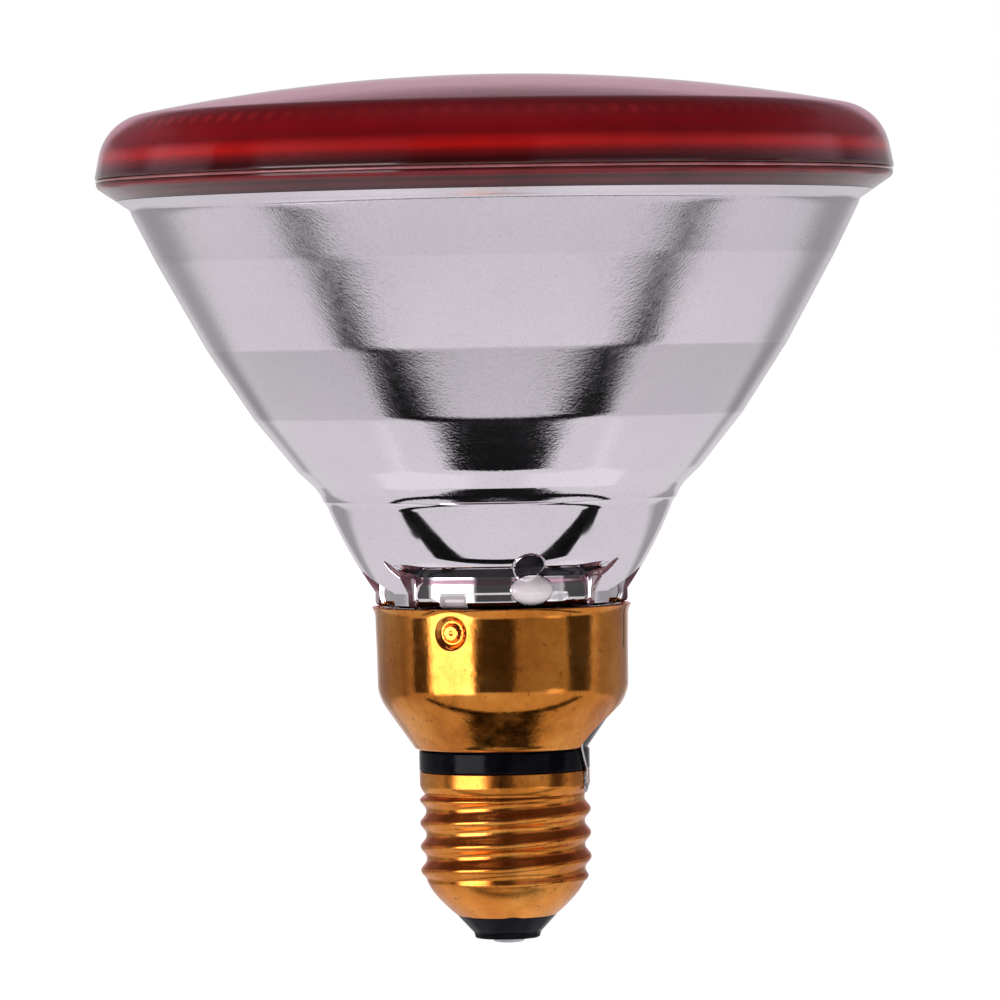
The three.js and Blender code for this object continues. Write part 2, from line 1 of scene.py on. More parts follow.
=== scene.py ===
"""A PAR38 infra-red heat lamp on a skirted screw cap, in its own studio.

The CAD model is the frame. The pieces that show are rebuilt here with finer surfaces from the
same dimensions, in millimetres from the centre contact up, and scaled to metres as meshes.
"""
import math

import bmesh
import bpy
import numpy as np
from mathutils import Matrix, Vector


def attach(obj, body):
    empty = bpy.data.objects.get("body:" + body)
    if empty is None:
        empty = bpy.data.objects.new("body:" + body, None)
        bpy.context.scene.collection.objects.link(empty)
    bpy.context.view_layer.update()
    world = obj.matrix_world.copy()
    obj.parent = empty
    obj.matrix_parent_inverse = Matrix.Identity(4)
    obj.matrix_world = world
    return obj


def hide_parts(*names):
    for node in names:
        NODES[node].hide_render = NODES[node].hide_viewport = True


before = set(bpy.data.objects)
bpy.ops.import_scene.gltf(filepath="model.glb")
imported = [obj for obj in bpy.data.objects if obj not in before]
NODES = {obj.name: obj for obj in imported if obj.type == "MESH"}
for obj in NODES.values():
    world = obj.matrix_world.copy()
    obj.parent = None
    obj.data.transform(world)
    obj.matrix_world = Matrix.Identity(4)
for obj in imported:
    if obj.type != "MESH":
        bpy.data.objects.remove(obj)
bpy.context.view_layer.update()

MM = 0.001

# ---- Dimensions, in millimetres ----

LENS_RADIUS = 61.0
OVERALL_LENGTH = 132.6
DOME_RADIUS = 280.0
LENS_CORNER_RADIUS = 8.0
LENS_DRAFT = 0.197
LENS_WALL = 3.6
STIPPLE_PITCH = 2.5
STIPPLE_HEIGHT = 0.22
SEAM_HEIGHT = 117.2
SEAM_HALF = 0.25
# Corners of the bowl's flat-sided bands, from the crease over the neck up to the flange.
BAND_CORNERS = ((28.32, 70.15), (30.8, 72.5), (37.3, 80.6), (44.2, 91.1), (51.7, 104.6), (55.1, 111.4))
INNER_SCALE, INNER_VERTEX = 49.3, 56.9
BAND_EDGES = (67.6, 72.6, 80.8, 91.2, 104.2, 112.4)
FLOOR_TOP, FLOOR_BOTTOM = 52.0, 47.5
HEEL_BOTTOM = 43.6
HEEL_RADIUS = 18.3
LUG_INNER_EDGE, LUG_OUTER_EDGE = 46.3, 58.0
LUG_FLARE = 6.8
POCKET_WALL, POCKET_TOP = 18.3, 56.5
PIP_AZIMUTH, PIP_Z = 14.6, 54.5
PIP_HALF_WIDTH, PIP_HALF_HEIGHT, PIP_SWELL = 3.4, 2.3, 1.25
STUB_AZIMUTH, STUB_Z = 11.4, 58.0
STUB_HALF_WIDTH, STUB_HALF_HEIGHT, STUB_SWELL = 2.2, 2.1, 0.8
SKIRT_RADIUS = 19.2
SKIRT_RIM = 51.6
SHEET = 0.35
CRIMP_AZIMUTHS = (-24.0, 156.0)
CRIMP_HEIGHT = 48.2
WINDOW_AZIMUTH = 85.0
WINDOW_WIDTH = 13.0
WINDOW_TOP = 36.6
SLIT_AZIMUTH = 74.0
SLIT_BOTTOM = 45.2
CAP_RIM = 26.4
THREAD_MAJOR, THREAD_MINOR, THREAD_PITCH = 13.08, 12.15, 3.629


# ---- Mesh helpers ----

def arc(r, z, radius, start, end, steps):
    """Points on a circle in the (r, z) half-plane, angles in degrees from +r towards +z."""
    angles = np.radians(np.linspace(start, end, steps + 1))
    return [(r + radius * math.cos(a), z + radius * math.sin(a)) for a in angles]


def bow(start, middle, end, steps):
    """Points on a quadratic curve between two ends, pulled towards a middle point."""
    made = []
    for t in np.linspace(0, 1, steps + 1):
        a, b, c = (1 - t) ** 2, 2 * t * (1 - t), t * t
        made.append((a * start[0] + b * middle[0] + c * end[0], a * start[1] + b * middle[1] + c * end[1]))
    return made


def line(start, end, steps):
    return [(start[0] + (end[0] - start[0]) * t, start[1] + (end[1] - start[1]) * t)
            for t in np.linspace(0, 1, steps + 1)]


def chain(*runs):
    """Joins runs of points, and drops a point that repeats the one before it."""
    made = []
    for run in runs:
        for p in run:
            if not made or math.hypot(p[0] - made[-1][0], p[1] - made[-1][1]) > 1e-4:
                made.append(p)
    return made


def refined(profile, step):
    """The same outline with points no more than step apart."""
    made = [profile[0]]
    for a, b in zip(profile, profile[1:]):
        parts = max(1, math.ceil(math.hypot(b[0] - a[0], b[1] - a[1]) / step))
        made += line(a, b, parts)[1:]
    return made


def smoothstep(low, high, value):
    t = np.clip((np.asarray(value, float) - low) / (high - low), 0, 1)
    return t * t * (3 - 2 * t)


def turn_between(azimuth, centre):
    """How far an azimuth is from another, in degrees, the short way round."""
    return (np.asarray(azimuth, float) - centre + 180) % 360 - 180


def finish_mesh(name, bm, sharp=35):
    bmesh.ops.remove_doubles(bm, verts=bm.verts, dist=1e-7)
    bmesh.ops.dissolve_degenerate(bm, edges=bm.edges, dist=1e-8)
    bmesh.ops.recalc_face_normals(bm, faces=bm.faces)
    mesh = bpy.data.meshes.new(name)
    bm.to_mesh(mesh)
    bm.free()
    mesh.polygons.foreach_set("use_smooth", [True] * len(mesh.polygons))
    mesh.set_sharp_from_angle(angle=math.radians(sharp))
    obj = bpy.data.objects.new(name, mesh)
    bpy.context.scene.collection.objects.link(obj)
    return obj


def grid_mesh(name, points, closed=True, sharp=35):
    """A surface from rows of points: points[row][column] in mm, its columns joined into rings."""
    rows, columns = points.shape[:2]
    bm = bmesh.new()
    verts = [bm.verts.new(p) for p in points.reshape(-1, 3) * MM]
    last = rows if closed else rows - 1
    for j in range(last):
        k = (j + 1) % rows
        for i in range(columns):
            n = (i + 1) % columns
            corners = ((j, i), (j, n), (k, n), (k, i))
            bm.faces.new([verts[row * columns + column] for row, column in corners])
    return finish_mesh(name, bm, sharp)


def turned(name, profile, segments, push=None, closed=True, sharp=35):
    """A profile turned about the Z axis. push(azimuth, z, row) moves the wall in or out."""
    azimuth = np.linspace(-180, 180, segments, endpoint=False)
    profile = np.array(profile)
    r = np.repeat(profile[:, 0:1], segments, axis=1)
    z = np.repeat(profile[:, 1:2], segments, axis=1)
    if push is not None:
        r = r + push(np.repeat(azimuth[None, :], len(profile), axis=0), z, r)
    a = np.radians(azimuth)[None, :]
    points = np.stack([r * np.sin(a), -r * np.cos(a), z], axis=2)
    return grid_mesh(name, points, closed, sharp)


def place(azimuth, r, z):
    a = math.radians(azimuth)
    return Vector((r * math.sin(a), -r * math.cos(a), z))


def tube(name, points, radii, sides=16, sharp=50):
    """A round wire through points in mm, with a radius at each point, closed at both ends."""
    points = [Vector(p) for p in points]
    rings = []
    normal = None
    for i, p in enumerate(points):
        ahead = points[min(i + 1, len(points) - 1)] - points[max(i - 1, 0)]
        along = ahead.normalized()
        if normal is None:
            normal = along.orthogonal().normalized()
        normal = (normal - along * normal.dot(along)).normalized()
        side = along.cross(normal)
        ring = [p + (normal * math.cos(t) + side * math.sin(t)) * radii[i]
                for t in np.linspace(0, 2 * math.pi, sides, endpoint=False)]
        rings.append(ring)
    bm = bmesh.new()
    made = [[bm.verts.new(v * MM) for v in ring] for ring in rings]
    for low, high in zip(made, made[1:]):
        for i in range(sides):
            n = (i + 1) % sides
            bm.faces.new([low[i], low[n], high[n], high[i]])
    bm.faces.new(list(reversed(made[0])))
    bm.faces.new(made[-1])
    return finish_mesh(name, bm, sharp)


def smooth_path(points, per_span):
    """A Catmull-Rom path through points."""
    points = [Vector(p) for p in points]
    ends = [points[0] * 2 - points[1]] + points + [points[-1] * 2 - points[-2]]
    made = []
    for a, b, c, d in zip(ends, ends[1:], ends[2:], ends[3:]):
        for t in np.linspace(0, 1, per_span, endpoint=False):
            made.append(0.5 * ((2 * b) + (c - a) * t + (2 * a - 5 * b + 4 * c - d) * t * t
                               + (3 * b - a - 3 * c + d) * t ** 3))
    return made + [points[-1]]


def cut_by(obj, cutters):
    """Takes the cutters out of obj, and removes them."""
    for cutter in cutters:
        modifier = obj.modifiers.new("cut", "BOOLEAN")
        modifier.operation = "DIFFERENCE"
        modifier.solver = "EXACT"
        modifier.object = cutter
    bpy.context.view_layer.update()
    graph = bpy.context.evaluated_depsgraph_get()
    mesh = bpy.data.meshes.new_from_object(obj.evaluated_get(graph))
    obj.modifiers.clear()
    old = obj.data
    obj.data = mesh
    bpy.data.meshes.remove(old)
    for cutter in cutters:
        shape = cutter.data
        bpy.data.objects.remove(cutter)
        bpy.data.meshes.remove(shape)
    mesh.polygons.foreach_set("use_smooth", [True] * len(mesh.polygons))
    mesh.set_sharp_from_angle(angle=math.radians(35))
    return obj


def cutter_block(size, centre, azimuth):
    bm = bmesh.new()
    bmesh.ops.create_cube(bm, size=1.0)
    turn = Matrix.Rotation(math.radians(azimuth), 4, "Z")
    scale = Matrix.Diagonal((*[s * MM for s in size], 1.0))
    bm.transform(turn @ Matrix.Translation(Vector(centre) * MM) @ scale)
    mesh = bpy.data.meshes.new("cutter")
    bm.to_mesh(mesh)
    bm.free()
    obj = bpy.data.objects.new("cutter", mesh)
    bpy.context.scene.collection.objects.link(obj)
    return obj


def piece(obj, material, slot, *nodes):
    obj.data.materials.clear()
    obj.data.materials.append(material)
    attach(obj, "root")
    if nodes:
        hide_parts(*nodes)
    return obj


# ---- Materials ----

def fill_ramp(ramp, stops):
    """Sets a colour ramp to (position, colour) stops, given in rising order."""
    first, last = ramp.elements[0], ramp.elements[1]
    first.position, last.position = stops[0][0], stops[-1][0]
    first.color, last.color = (*stops[0][1], 1), (*stops[-1][1], 1)
    for at, colour in stops[1:-1]:
        ramp.elements.new(at).color = (*colour, 1)


class Nodes:
    """A short way to write a node tree."""

    def __init__(self, name):
        self.material = bpy.data.materials.new(name)
        self.material.use_nodes = True
        self.tree = self.material.node_tree
        self.shader = self.tree.nodes["Principled BSDF"]
        self.where = self.add("ShaderNodeTexCoord").outputs["Object"]

    def add(self, kind, **settings):
        node = self.tree.nodes.new(kind)
        for key, value in settings.items():
            setattr(node, key, value)
        return node

    def link(self, out, into):
        self.tree.links.new(out, into)

    def height(self):
        """Height above the centre contact, in metres."""
        split = self.add("ShaderNodeSeparateXYZ")
        self.link(self.where, split.inputs[0])
        return split.outputs["Z"]

    def noise(self, scale, detail=3.0, rough=0.55, stretch=(1, 1, 1)):
        mapping = self.add("ShaderNodeMapping")
        mapping.inputs["Scale"].default_value = stretch
        self.link(self.where, mapping.inputs["Vector"])
        node = self.add("ShaderNodeTexNoise")
        node.inputs["Scale"].default_value = scale
        node.inputs["Detail"].default_value = detail
        node.inputs["Roughness"].default_value = rough
        self.link(mapping.outputs[0], node.inputs["Vector"])
        return node.outputs["Fac"]

    def ramp(self, value, *stops):
        node = self.add("ShaderNodeValToRGB")
        fill_ramp(node.color_ramp, stops)
        self.link(value, node.inputs["Fac"])
        return node.outputs["Color"]

    def span(self, value, low, high, new_low, new_high):
        node = self.add("ShaderNodeMapRange")
        for key, number in (("From Min", low), ("From Max", high), ("To Min", new_low), ("To Max", new_high)):
            node.inputs[key].default_value = number
        self.link(value, node.inputs["Value"])
        return node.outputs["Result"]

    def math(self, operation, a, b=None):
        node = self.add("ShaderNodeMath", operation=operation)
        for i, value in enumerate((a, b)):
            if value is None:
                continue
            if isinstance(value, (int, float)):
                node.inputs[i].default_value = value
            else:
                self.link(value, node.inputs[i])
        return node.outputs[0]

    def blend(self, factor, a, b, mode="MIX"):
        node = self.add("ShaderNodeMix", data_type="RGBA", blend_type=mode)
        for socket, value in ((node.inputs[0], factor), (node.inputs[6], a), (node.inputs[7], b)):
            if isinstance(value, (int, float)):
                socket.default_value = value
            elif isinstance(value, tuple):
                socket.default_value = (*value, 1)
            else:
                self.link(value, socket)
        return node.outputs[2]

    def bump(self, height, strength, distance_mm, after=None):
        node = self.add("ShaderNodeBump")
        node.inputs["Strength"].default_value = strength
        node.inputs["Distance"].default_value = distance_mm * MM
        self.link(height, node.inputs["Height"])
        if after is not None:
            self.link(after, node.inputs["Normal"])
        return node.outputs["Normal"]

    def set(self, **values):
        for key, value in values.items():
            socket = self.shader.inputs[key.replace("_", " ")]
            if isinstance(value, (int, float)):
                socket.default_value = value
            elif isinstance(value, tuple):
                socket.default_value = (*value, 1) if len(value) == 3 else value
            else:
                self.link(value, socket)
        return self.material


def ruby_glass():
    n = Nodes("ruby_glass")
    cloud = n.noise(60, 2)
    # Painted light and shade: bands of brighter and darker red set by height, with a bright streak low on the
    # side wall where light comes through and darker bands on either side of it.
    painted_light_by_height = n.ramp(
        n.span(n.height(), 0.117, 0.133, 0, 1),
        (0.03, (0.10, 0.003, 0.004)),
        (0.08, (0.06, 0.003, 0.004)),
        (0.15, (0.30, 0.008, 0.008)),
        (0.21, (0.86, 0.014, 0.010)),
        (0.26, (0.70, 0.010, 0.010)),
        (0.32, (0.36, 0.003, 0.006)),
        (0.42, (0.52, 0.004, 0.010)),
        (1.00, (0.66, 0.006, 0.016)),
    )
    # Painted light: rows of lumps on the inside of the lens are painted in as brighter dots, for the light
    # they let through.
    split = n.add("ShaderNodeSeparateXYZ")
    n.link(n.where, split.inputs[0])
    turn = n.math("ARCTAN2", split.outputs["X"], split.outputs["Y"])
    across = n.math("SINE", n.math("MULTIPLY", turn, 118.0))
    along = n.math("SINE", n.math("MULTIPLY", n.height(), 2 * math.pi / 0.0026))
    lumps = n.span(n.math("ADD", across, along), 0.2, 1.6, 0, 1)
    rows = n.math(
        "MULTIPLY",
        n.span(n.height(), 0.1235, 0.1245, 0, 1),
        n.span(n.height(), 0.1275, 0.1290, 1, 0),
    )
    patchy = n.span(n.noise(45, 2), 0.4, 0.6, 0.2, 1.0)
    painted_glint_dots = n.math("MULTIPLY", n.math("MULTIPLY", lumps, rows), patchy)
    red = n.blend(n.math("MULTIPLY", painted_glint_dots, 0.75), painted_light_by_height, (0.95, 0.03, 0.03))
    shade = n.span(cloud, 0.3, 0.7, 0.85, 1.1)
    n.set(Base_Color=n.blend(1.0, red, shade, "MULTIPLY"), IOR=1.5, Coat_IOR=1.5)
    n.set(Transmission_Weight=0.4, Specular_IOR_Level=0.0, Coat_Weight=1.0, Coat_Roughness=0.03)
    smear = n.span(n.noise(240, 3), 0.3, 0.75, 0.2, 0.3)
    ripple = n.bump(n.noise(160, 2), 0.12, 0.2)
    return n.set(Roughness=smear, Normal=ripple, Coat_Normal=ripple)


def clear_glass(name="clear_glass", tint=(0.97, 0.965, 0.98), grain=0.25):
    n = Nodes(name)
    cloud = n.noise(90, 2)
    faint = tuple(v * 0.985 for v in tint)
    n.set(Base_Color=n.ramp(cloud, (0.3, tint), (0.7, faint)), IOR=1.47, Transmission_Weight=1.0)
    smear = n.span(n.noise(300, 3), 0.3, 0.75, 0.015, 0.05)
    orange_peel = n.bump(n.noise(700, 2), grain, 0.05)
    return n.set(Roughness=smear, Normal=orange_peel)


def flange_glass():
    """Glass of the flange, painted with lighter and darker rings of red: painted light and shade that stand
    for the ruby lens seen through it.
    """
    n = Nodes("flange_glass")
    # Painted light and shade: red rings set by height, for the lens seen through the flange.
    rings = n.ramp(
        n.span(n.height(), 0.1122, 0.1170, 0, 1),
        (0.30, (0.10, 0.028, 0.036)),
        (0.44, (0.035, 0.007, 0.010)),
        (0.58, (0.085, 0.014, 0.020)),
        (0.72, (0.035, 0.004, 0.006)),
        (0.86, (0.20, 0.020, 0.024)),
        (1.00, (0.05, 0.003, 0.004)),
    )
    shade = n.span(n.noise(120, 3), 0.3, 0.7, 0.75, 1.2)
    n.set(Base_Color=n.blend(1.0, rings, shade, "MULTIPLY"), IOR=1.47)
    n.set(Transmission_Weight=0.05, Specular_IOR_Level=0.1, Coat_Weight=0.45, Coat_Roughness=0.05)
    smear = n.span(n.noise(300, 3), 0.3, 0.75, 0.12, 0.25)
    return n.set(Roughness=smear, Normal=n.bump(n.noise(300, 2), 0.2, 0.1))


def seal_glass():
    n = Nodes("seal_glass")
    n.set(Base_Color=n.ramp(n.noise(160, 2), (0.3, (0.40, 0.10, 0.11)), (0.7, (0.62, 0.24, 0.25))), IOR=1.47)
    n.set(Transmission_Weight=0.3, Coat_Weight=1.0)
    return n.set(Roughness=n.span(n.noise(300, 3), 0.3, 0.75, 0.12, 0.25))


def aluminium_film():
    n = Nodes("aluminium_film")
    cloud = n.noise(35, 4)
    film = n.ramp(cloud, (0.3, (0.77, 0.725, 0.785)), (0.7, (0.84, 0.79, 0.845)))
    speck = n.noise(2500, 2, 0.7)
    film = n.blend(n.span(speck, 0.5, 0.8, 0, 0.35), film, (0.5, 0.46, 0.52))
    # Painted reflection: the brightness steps from one flat-sided band to the next, which the bands' tilts
    # give in reflected light, are painted here by height.
    lowest, third, fourth = (BAND_CORNERS[i][1] * MM for i in (2, 3, 4))
    foot, head = 0.070, 0.115
    band_reflection_tones = ((foot, 1.06), (lowest - 0.0001, 1.04), (lowest + 0.0001, 0.88), (third - 0.0001, 0.83))
    band_reflection_tones += ((third + 0.0001, 1.07), (fourth - 0.0001, 1.04), (fourth + 0.0001, 0.98), (head, 1.0))
    stops = [((z - foot) / (head - foot), (tone,) * 3) for z, tone in band_reflection_tones]
    film = n.blend(1.0, film, n.ramp(n.span(n.height(), foot, head, 0, 1), *stops), "MULTIPLY")
    # The neck is coated smoothly, and the bowl above the crease more coarsely.
    above = n.span(n.height(), 0.0666, 0.0678, 0, 1)
    grade = n.span(n.height(), 0.074, 0.104, 0.3, 1.0)
    coarse = n.math("MULTIPLY", n.span(n.noise(500, 4), 0.3, 0.7, 0.15, 0.21), grade)
    smooth = n.span(n.noise(200, 2), 0.3, 0.7, 0.04, 0.07)
    below = n.math("SUBTRACT", 1, above)
    smear = n.math("ADD", n.math("MULTIPLY", above, coarse), n.math("MULTIPLY", below, smooth))
    fine = n.bump(n.math("MULTIPLY", n.math("MULTIPLY", speck, above), grade), 0.45, 0.05)
    wavy = n.bump(n.noise(150, 2), 0.12, 0.15, fine)
    return n.set(Base_Color=film, Metallic=1.0, Roughness=smear, Normal=wavy)


def neck_glass(name, dark, light, metallic, rough, coat=0.6):
    """A finish for faces of the moulded glass of the neck: the mirror one reflects, and the others are
    painted reflections and painted shade that each face shows by the way it lies.
    """
    n = Nodes(name)
    colour = n.ramp(n.noise(300, 3), (0.35, dark), (0.65, light))
    n.set(Base_Color=colour, Metallic=metallic, Coat_Weight=coat)
    n.set(Specular_IOR_Level=0.5 * coat + 0.05)
    smear = n.span(n.noise(500, 3), 0.3, 0.75, rough, rough + 0.06)
    return n.set(Roughness=smear, Normal=n.bump(n.noise(260, 2), 0.2, 0.12))


def brass(name="brass", wear=0.0, shine=1.0):
    """Lacquered brass; wear roughens it and shine lightens it."""
    n = Nodes(name)
    patches = n.noise(110, 5, 0.62)
    streaks = n.noise(260, 3, 0.6, (1, 1, 0.12))
    hues = (0.3, (0.48, 0.145, 0.022)), (0.5, (0.70, 0.245, 0.04)), (0.72, (0.86, 0.37, 0.08))
    colour = n.ramp(patches, *((at, tuple(min(1.0, c * shine) for c in hue)) for at, hue in hues))
    tarnish = n.span(streaks, 0.5, 0.75, 0, 0.5)
    colour = n.blend(tarnish, colour, (0.34, 0.125, 0.022))
    spots = n.span(n.noise(900, 2, 0.7), 0.62, 0.75, 0, 0.6)
    colour = n.blend(spots, colour, (0.16, 0.05, 0.015))
    n.set(Base_Color=colour, Metallic=1.0)
    smear = n.span(n.noise(420, 4, 0.65), 0.3, 0.75, 0.09 + wear, 0.21 + wear)
    grain = n.bump(n.noise(1500, 3, 0.6), 0.25, 0.05)
    return n.set(Roughness=smear, Normal=n.bump(n.noise(170, 3), 0.3, 0.15, grain))


def black_glass():
    n = Nodes("black_glass")
    n.set(Base_Color=n.ramp(n.noise(400, 3), (0.35, (0.002, 0.002, 0.004)), (0.7, (0.006, 0.006, 0.009))))
    n.set(Specular_IOR_Level=0.07)
    smear = n.span(n.noise(800, 3), 0.3, 0.75, 0.06, 0.2)
    return n.set(Roughness=smear, Normal=n.bump(n.noise(500, 3), 0.3, 0.1))


def dull_metal(name, dark, light, rough, grain_scale, grain):
    n = Nodes(name)
    n.set(Base_Color=n.ramp(n.noise(grain_scale, 4), (0.3, dark), (0.7, light)), Metallic=1.0)
    smear = n.span(n.noise(grain_scale * 2, 3), 0.3, 0.75, rough - 0.08, rough + 0.1)
    return n.set(Roughness=smear, Normal=n.bump(n.noise(grain_scale * 1.5, 3), grain, 0.08))


RUBY = ruby_glass()
CLEAR = clear_glass()
FILM = aluminium_film()
BRASS = brass()
WORN_BRASS = brass("worn_brass", 0.09, 1.2)
BLACK = black_glass()
SEAL = seal_glass()
FLANGE = flange_glass()
NECK_MIRROR = neck_glass("neck_mirror", (0.80, 0.78, 0.80), (0.93, 0.91, 0.93), 1.0, 0.03)
# Painted reflection in mauve, for faces of the neck.
NECK_PAINTED_MAUVE_REFLECTION = neck_glass("neck_painted_mauve_reflection", (0.09, 0.035, 0.05), (0.24, 0.11, 0.13), 0.0, 0.08)
# Painted shade in near black, for faces of the neck.
NECK_PAINTED_SHADE = neck_glass("neck_painted_shade", (0.004, 0.004, 0.006), (0.02, 0.018, 0.022), 0.0, 0.08, 0.0)
# Painted reflection in white, for faces of the neck.
NECK_PAINTED_WHITE_REFLECTION = neck_glass("neck_painted_white_reflection", (0.82, 0.80, 0.82), (0.93, 0.92, 0.93), 0.0, 0.1)
SOLDER = dull_metal("solder", (0.42, 0.42, 0.44), (0.72, 0.72, 0.74), 0.3, 900, 0.35)
NICKEL = dull_metal("nickel", (0.60, 0.59, 0.58), (0.82, 0.81, 0.79), 0.3, 700, 0.15)
TUNGSTEN = dull_metal("tungsten", (0.16, 0.16, 0.18), (0.34, 0.34, 0.37), 0.45, 1200, 0.2)


# ---- Lens and its seal ----

def lens_outline(inset, bottom, corner_steps, dome_steps):
    """From the foot of the side wall, round the corner and over the dome to the axis."""
    dome = DOME_RADIUS - inset
    dome_centre = OVERALL_LENGTH - DOME_RADIUS
    corner = LENS_CORNER_RADIUS - inset
    out = np.array([math.cos(LENS_DRAFT), math.sin(LENS_DRAFT)])
    up = np.array([-out[1], out[0]])
    foot = np.array([LENS_RADIUS - inset * 1.1, bottom])
    start = foot - out * corner
    to_centre = start - np.array([0, dome_centre])
    b = to_centre @ up
    reach = math.sqrt(b * b - to_centre @ to_centre + (dome - corner) ** 2) - b
    centre = start + up * reach
    dome_angle = math.degrees(math.atan2(centre[1] - dome_centre, centre[0]))
    return chain(
        [tuple(foot)],
        arc(centre[0], centre[1], corner, math.degrees(LENS_DRAFT), dome_angle, corner_steps),
        arc(0, dome_centre, dome, dome_angle, 90, dome_steps),
    )


def make_lens():
    bottom = SEAM_HEIGHT + SEAM_HALF + 0.05
    outside = lens_outline(0, bottom, 28, 40)
    edge = outside[0]
    slant = math.tan(LENS_DRAFT)
    rounding = ((0.35, 0.0), (0.15, 0.04), (0.07, 0.16))
    rounded_foot = [(edge[0] - back, bottom + up) for back, up in rounding]
    wall = [(edge[0] - slant * up, bottom + up) for up in (0.35, 0.6, 1.0, 1.6)]
    outside = rounded_foot + wall + outside[1:]
    inside = refined(list(reversed(lens_outline(LENS_WALL, bottom, 24, 60))), 0.6)
    profile = np.array(chain(inside, outside))
    inner_rows = len(inside)
    segments = 480
    azimuth = np.radians(np.linspace(-180, 180, segments, endpoint=False))[None, :]
    r = np.repeat(profile[:, 0:1], segments, axis=1)
    z = np.repeat(profile[:, 1:2], segments, axis=1)
    x, y = r * np.sin(azimuth), -r * np.cos(azimuth)
    # The light-spreading stipple is a lattice of round lumps on the inside of the dome.
    k = 2 * math.pi / STIPPLE_PITCH
    crossing = np.cos(k * x) + np.cos(k * (x * 0.5 + y * 0.866)) + np.cos(k * (x * 0.5 - y * 0.866))
    lumps = (crossing + 1.5) / 4.5
    on_inside = np.zeros_like(r)
    on_inside[:inner_rows] = 1 - smoothstep(53.5, 55.5, r[:inner_rows])
    z = z - STIPPLE_HEIGHT * lumps * on_inside
    points = np.stack([x, y, z], axis=2)
    return grid_mesh("lens_body", points, closed=True)


def make_rim_seal():
    low, high = SEAM_HEIGHT - SEAM_HALF, SEAM_HEIGHT + SEAM_HALF
    edge = LENS_RADIUS - 0.45
    profile = chain(
        [(56.4, low), (edge, low)],
        arc(edge, SEAM_HEIGHT, SEAM_HALF, -90, 90, 8),
        [(edge, high), (56.4, high)],
    )

    def wobble(azimuth, z, r):
        wave = np.sin(np.radians(azimuth) * 11) + np.sin(np.radians(azimuth) * 29 + 1)
        return np.where(r > 60, 0.04 * wave, 0)

    return turned("rim_seal_bead", profile, 360, wobble)


# ---- Reflector ----

def on_parabola(scale, vertex, z):
    return (math.sqrt(scale * (z - vertex)), z)


def bowl_inside(inset):
    """The mirror side of the bowl from the floor's edge up to the flange, pulled in by inset."""
    neck = bow((13.5, FLOOR_TOP), (19.6, 58.5), (22.7, 66.4), 16)
    bands = [on_parabola(INNER_SCALE, INNER_VERTEX, z) for z in BAND_EDGES]
    outline = refined(chain(neck, bands), 0.9)
    made = []
    for r, z in outline:
        lean = math.atan2(INNER_SCALE, 2 * r)
        made.append((r - inset * math.cos(lean), z + inset * math.sin(lean)))
    return made


def folded(azimuth):
    """An azimuth folded into the quarter turn between the front or the back and a side."""
    turn = np.abs(turn_between(azimuth, 0))
    return np.minimum(turn, 180 - turn)


def lug_weight(azimuth, z):
    """1 where a lug stands between the pockets, 0 in a pocket. All but the side lugs flare upwards."""
    turn = folded(azimuth)
    outer_edge = LUG_OUTER_EDGE + LUG_FLARE * np.maximum(z - 54, 0)
    leaning = smoothstep(-0.6, 0.6, turn - LUG_INNER_EDGE) * (1 - smoothstep(-0.6, 0.6, turn - outer_edge))
    return np.maximum(leaning, 1 - smoothstep(5.2, 6.6, np.abs(turn - 90)))


def pocket_wall(z):
    """Radius of a pocket's back wall, and of the sloping ceiling over it."""
    wall = POCKET_WALL - 0.7 * (1 - smoothstep(51.0, 53.6, z)) - 0.15 * smoothstep(55.2, POCKET_TOP, z)
    return wall + np.maximum(z - POCKET_TOP, 0) / 0.55


def near_mark(azimuth, z, centre, height, half_width, half_height):
    """Distance from the middle of a round mark on the neck, 1 at its edge."""
    across = np.radians(turn_between(azimuth, centre)) * 19.0
    return np.hypot(across / half_width, (z - height) / half_height)


def near_pip(azimuth, z):
    return near_mark(azimuth, z, PIP_AZIMUTH, PIP_Z, PIP_HALF_WIDTH, PIP_HALF_HEIGHT)


def near_stub(azimuth, z):
    return near_mark(azimuth, z, STUB_AZIMUTH, STUB_Z, STUB_HALF_WIDTH, STUB_HALF_HEIGHT)


def near_groove(azimuth, z):
    """Distance in mm from the leaf-shaped groove beside each leaning lug, less where the leaf is wide."""
    start, end = np.array([45.2, 56.5]), np.array([52.0, 58.9])
    scale = np.array([np.radians(1) * 21, 1.0])
    along = (end - start) * scale
    dx, dz = (folded(azimuth) - start[0]) * scale[0], z - start[1]
    t = np.clip((dx * along[0] + dz * along[1]) / (along @ along), 0, 1)
    return np.hypot(dx - t * along[0], dz - t * along[1]) - 0.3 * np.sin(np.pi * t)


def neck_push(azimuth, z, r):
    """How far the pockets, the grooves and the exhaust mark move the neck's wall."""
    # The neck is pinched between the lugs at the front and the back.
    drop = np.minimum(np.maximum(59.6 - z, 0), 1.6)
    pinch = 0.067 * np.maximum(66.8 - z, 0) + 0.09 * drop ** 2
    moved = -pinch * (1 - smoothstep(30, 46, folded(azimuth))) * (z < 66.9)
    moved = moved - np.maximum(r + moved - pocket_wall(z), 0) * (1 - lug_weight(azimuth, z))
    for away, swell in ((near_pip(azimuth, z), PIP_SWELL), (near_stub(azimuth, z), STUB_SWELL)):
        moved += swell * np.sqrt(np.clip(1 - away ** 2, 0, 1))
    moved -= 0.45 * (1 - smoothstep(0.0, 0.35, near_groove(azimuth, z)))
    for centre in CRIMP_AZIMUTHS:
        beside = np.abs(np.radians(turn_between(azimuth, centre)) * SKIRT_RADIUS)
        moved -= 0.7 * (1 - smoothstep(1.7, 2.3, beside)) * (1 - smoothstep(53.2, 53.9, z))
    return moved


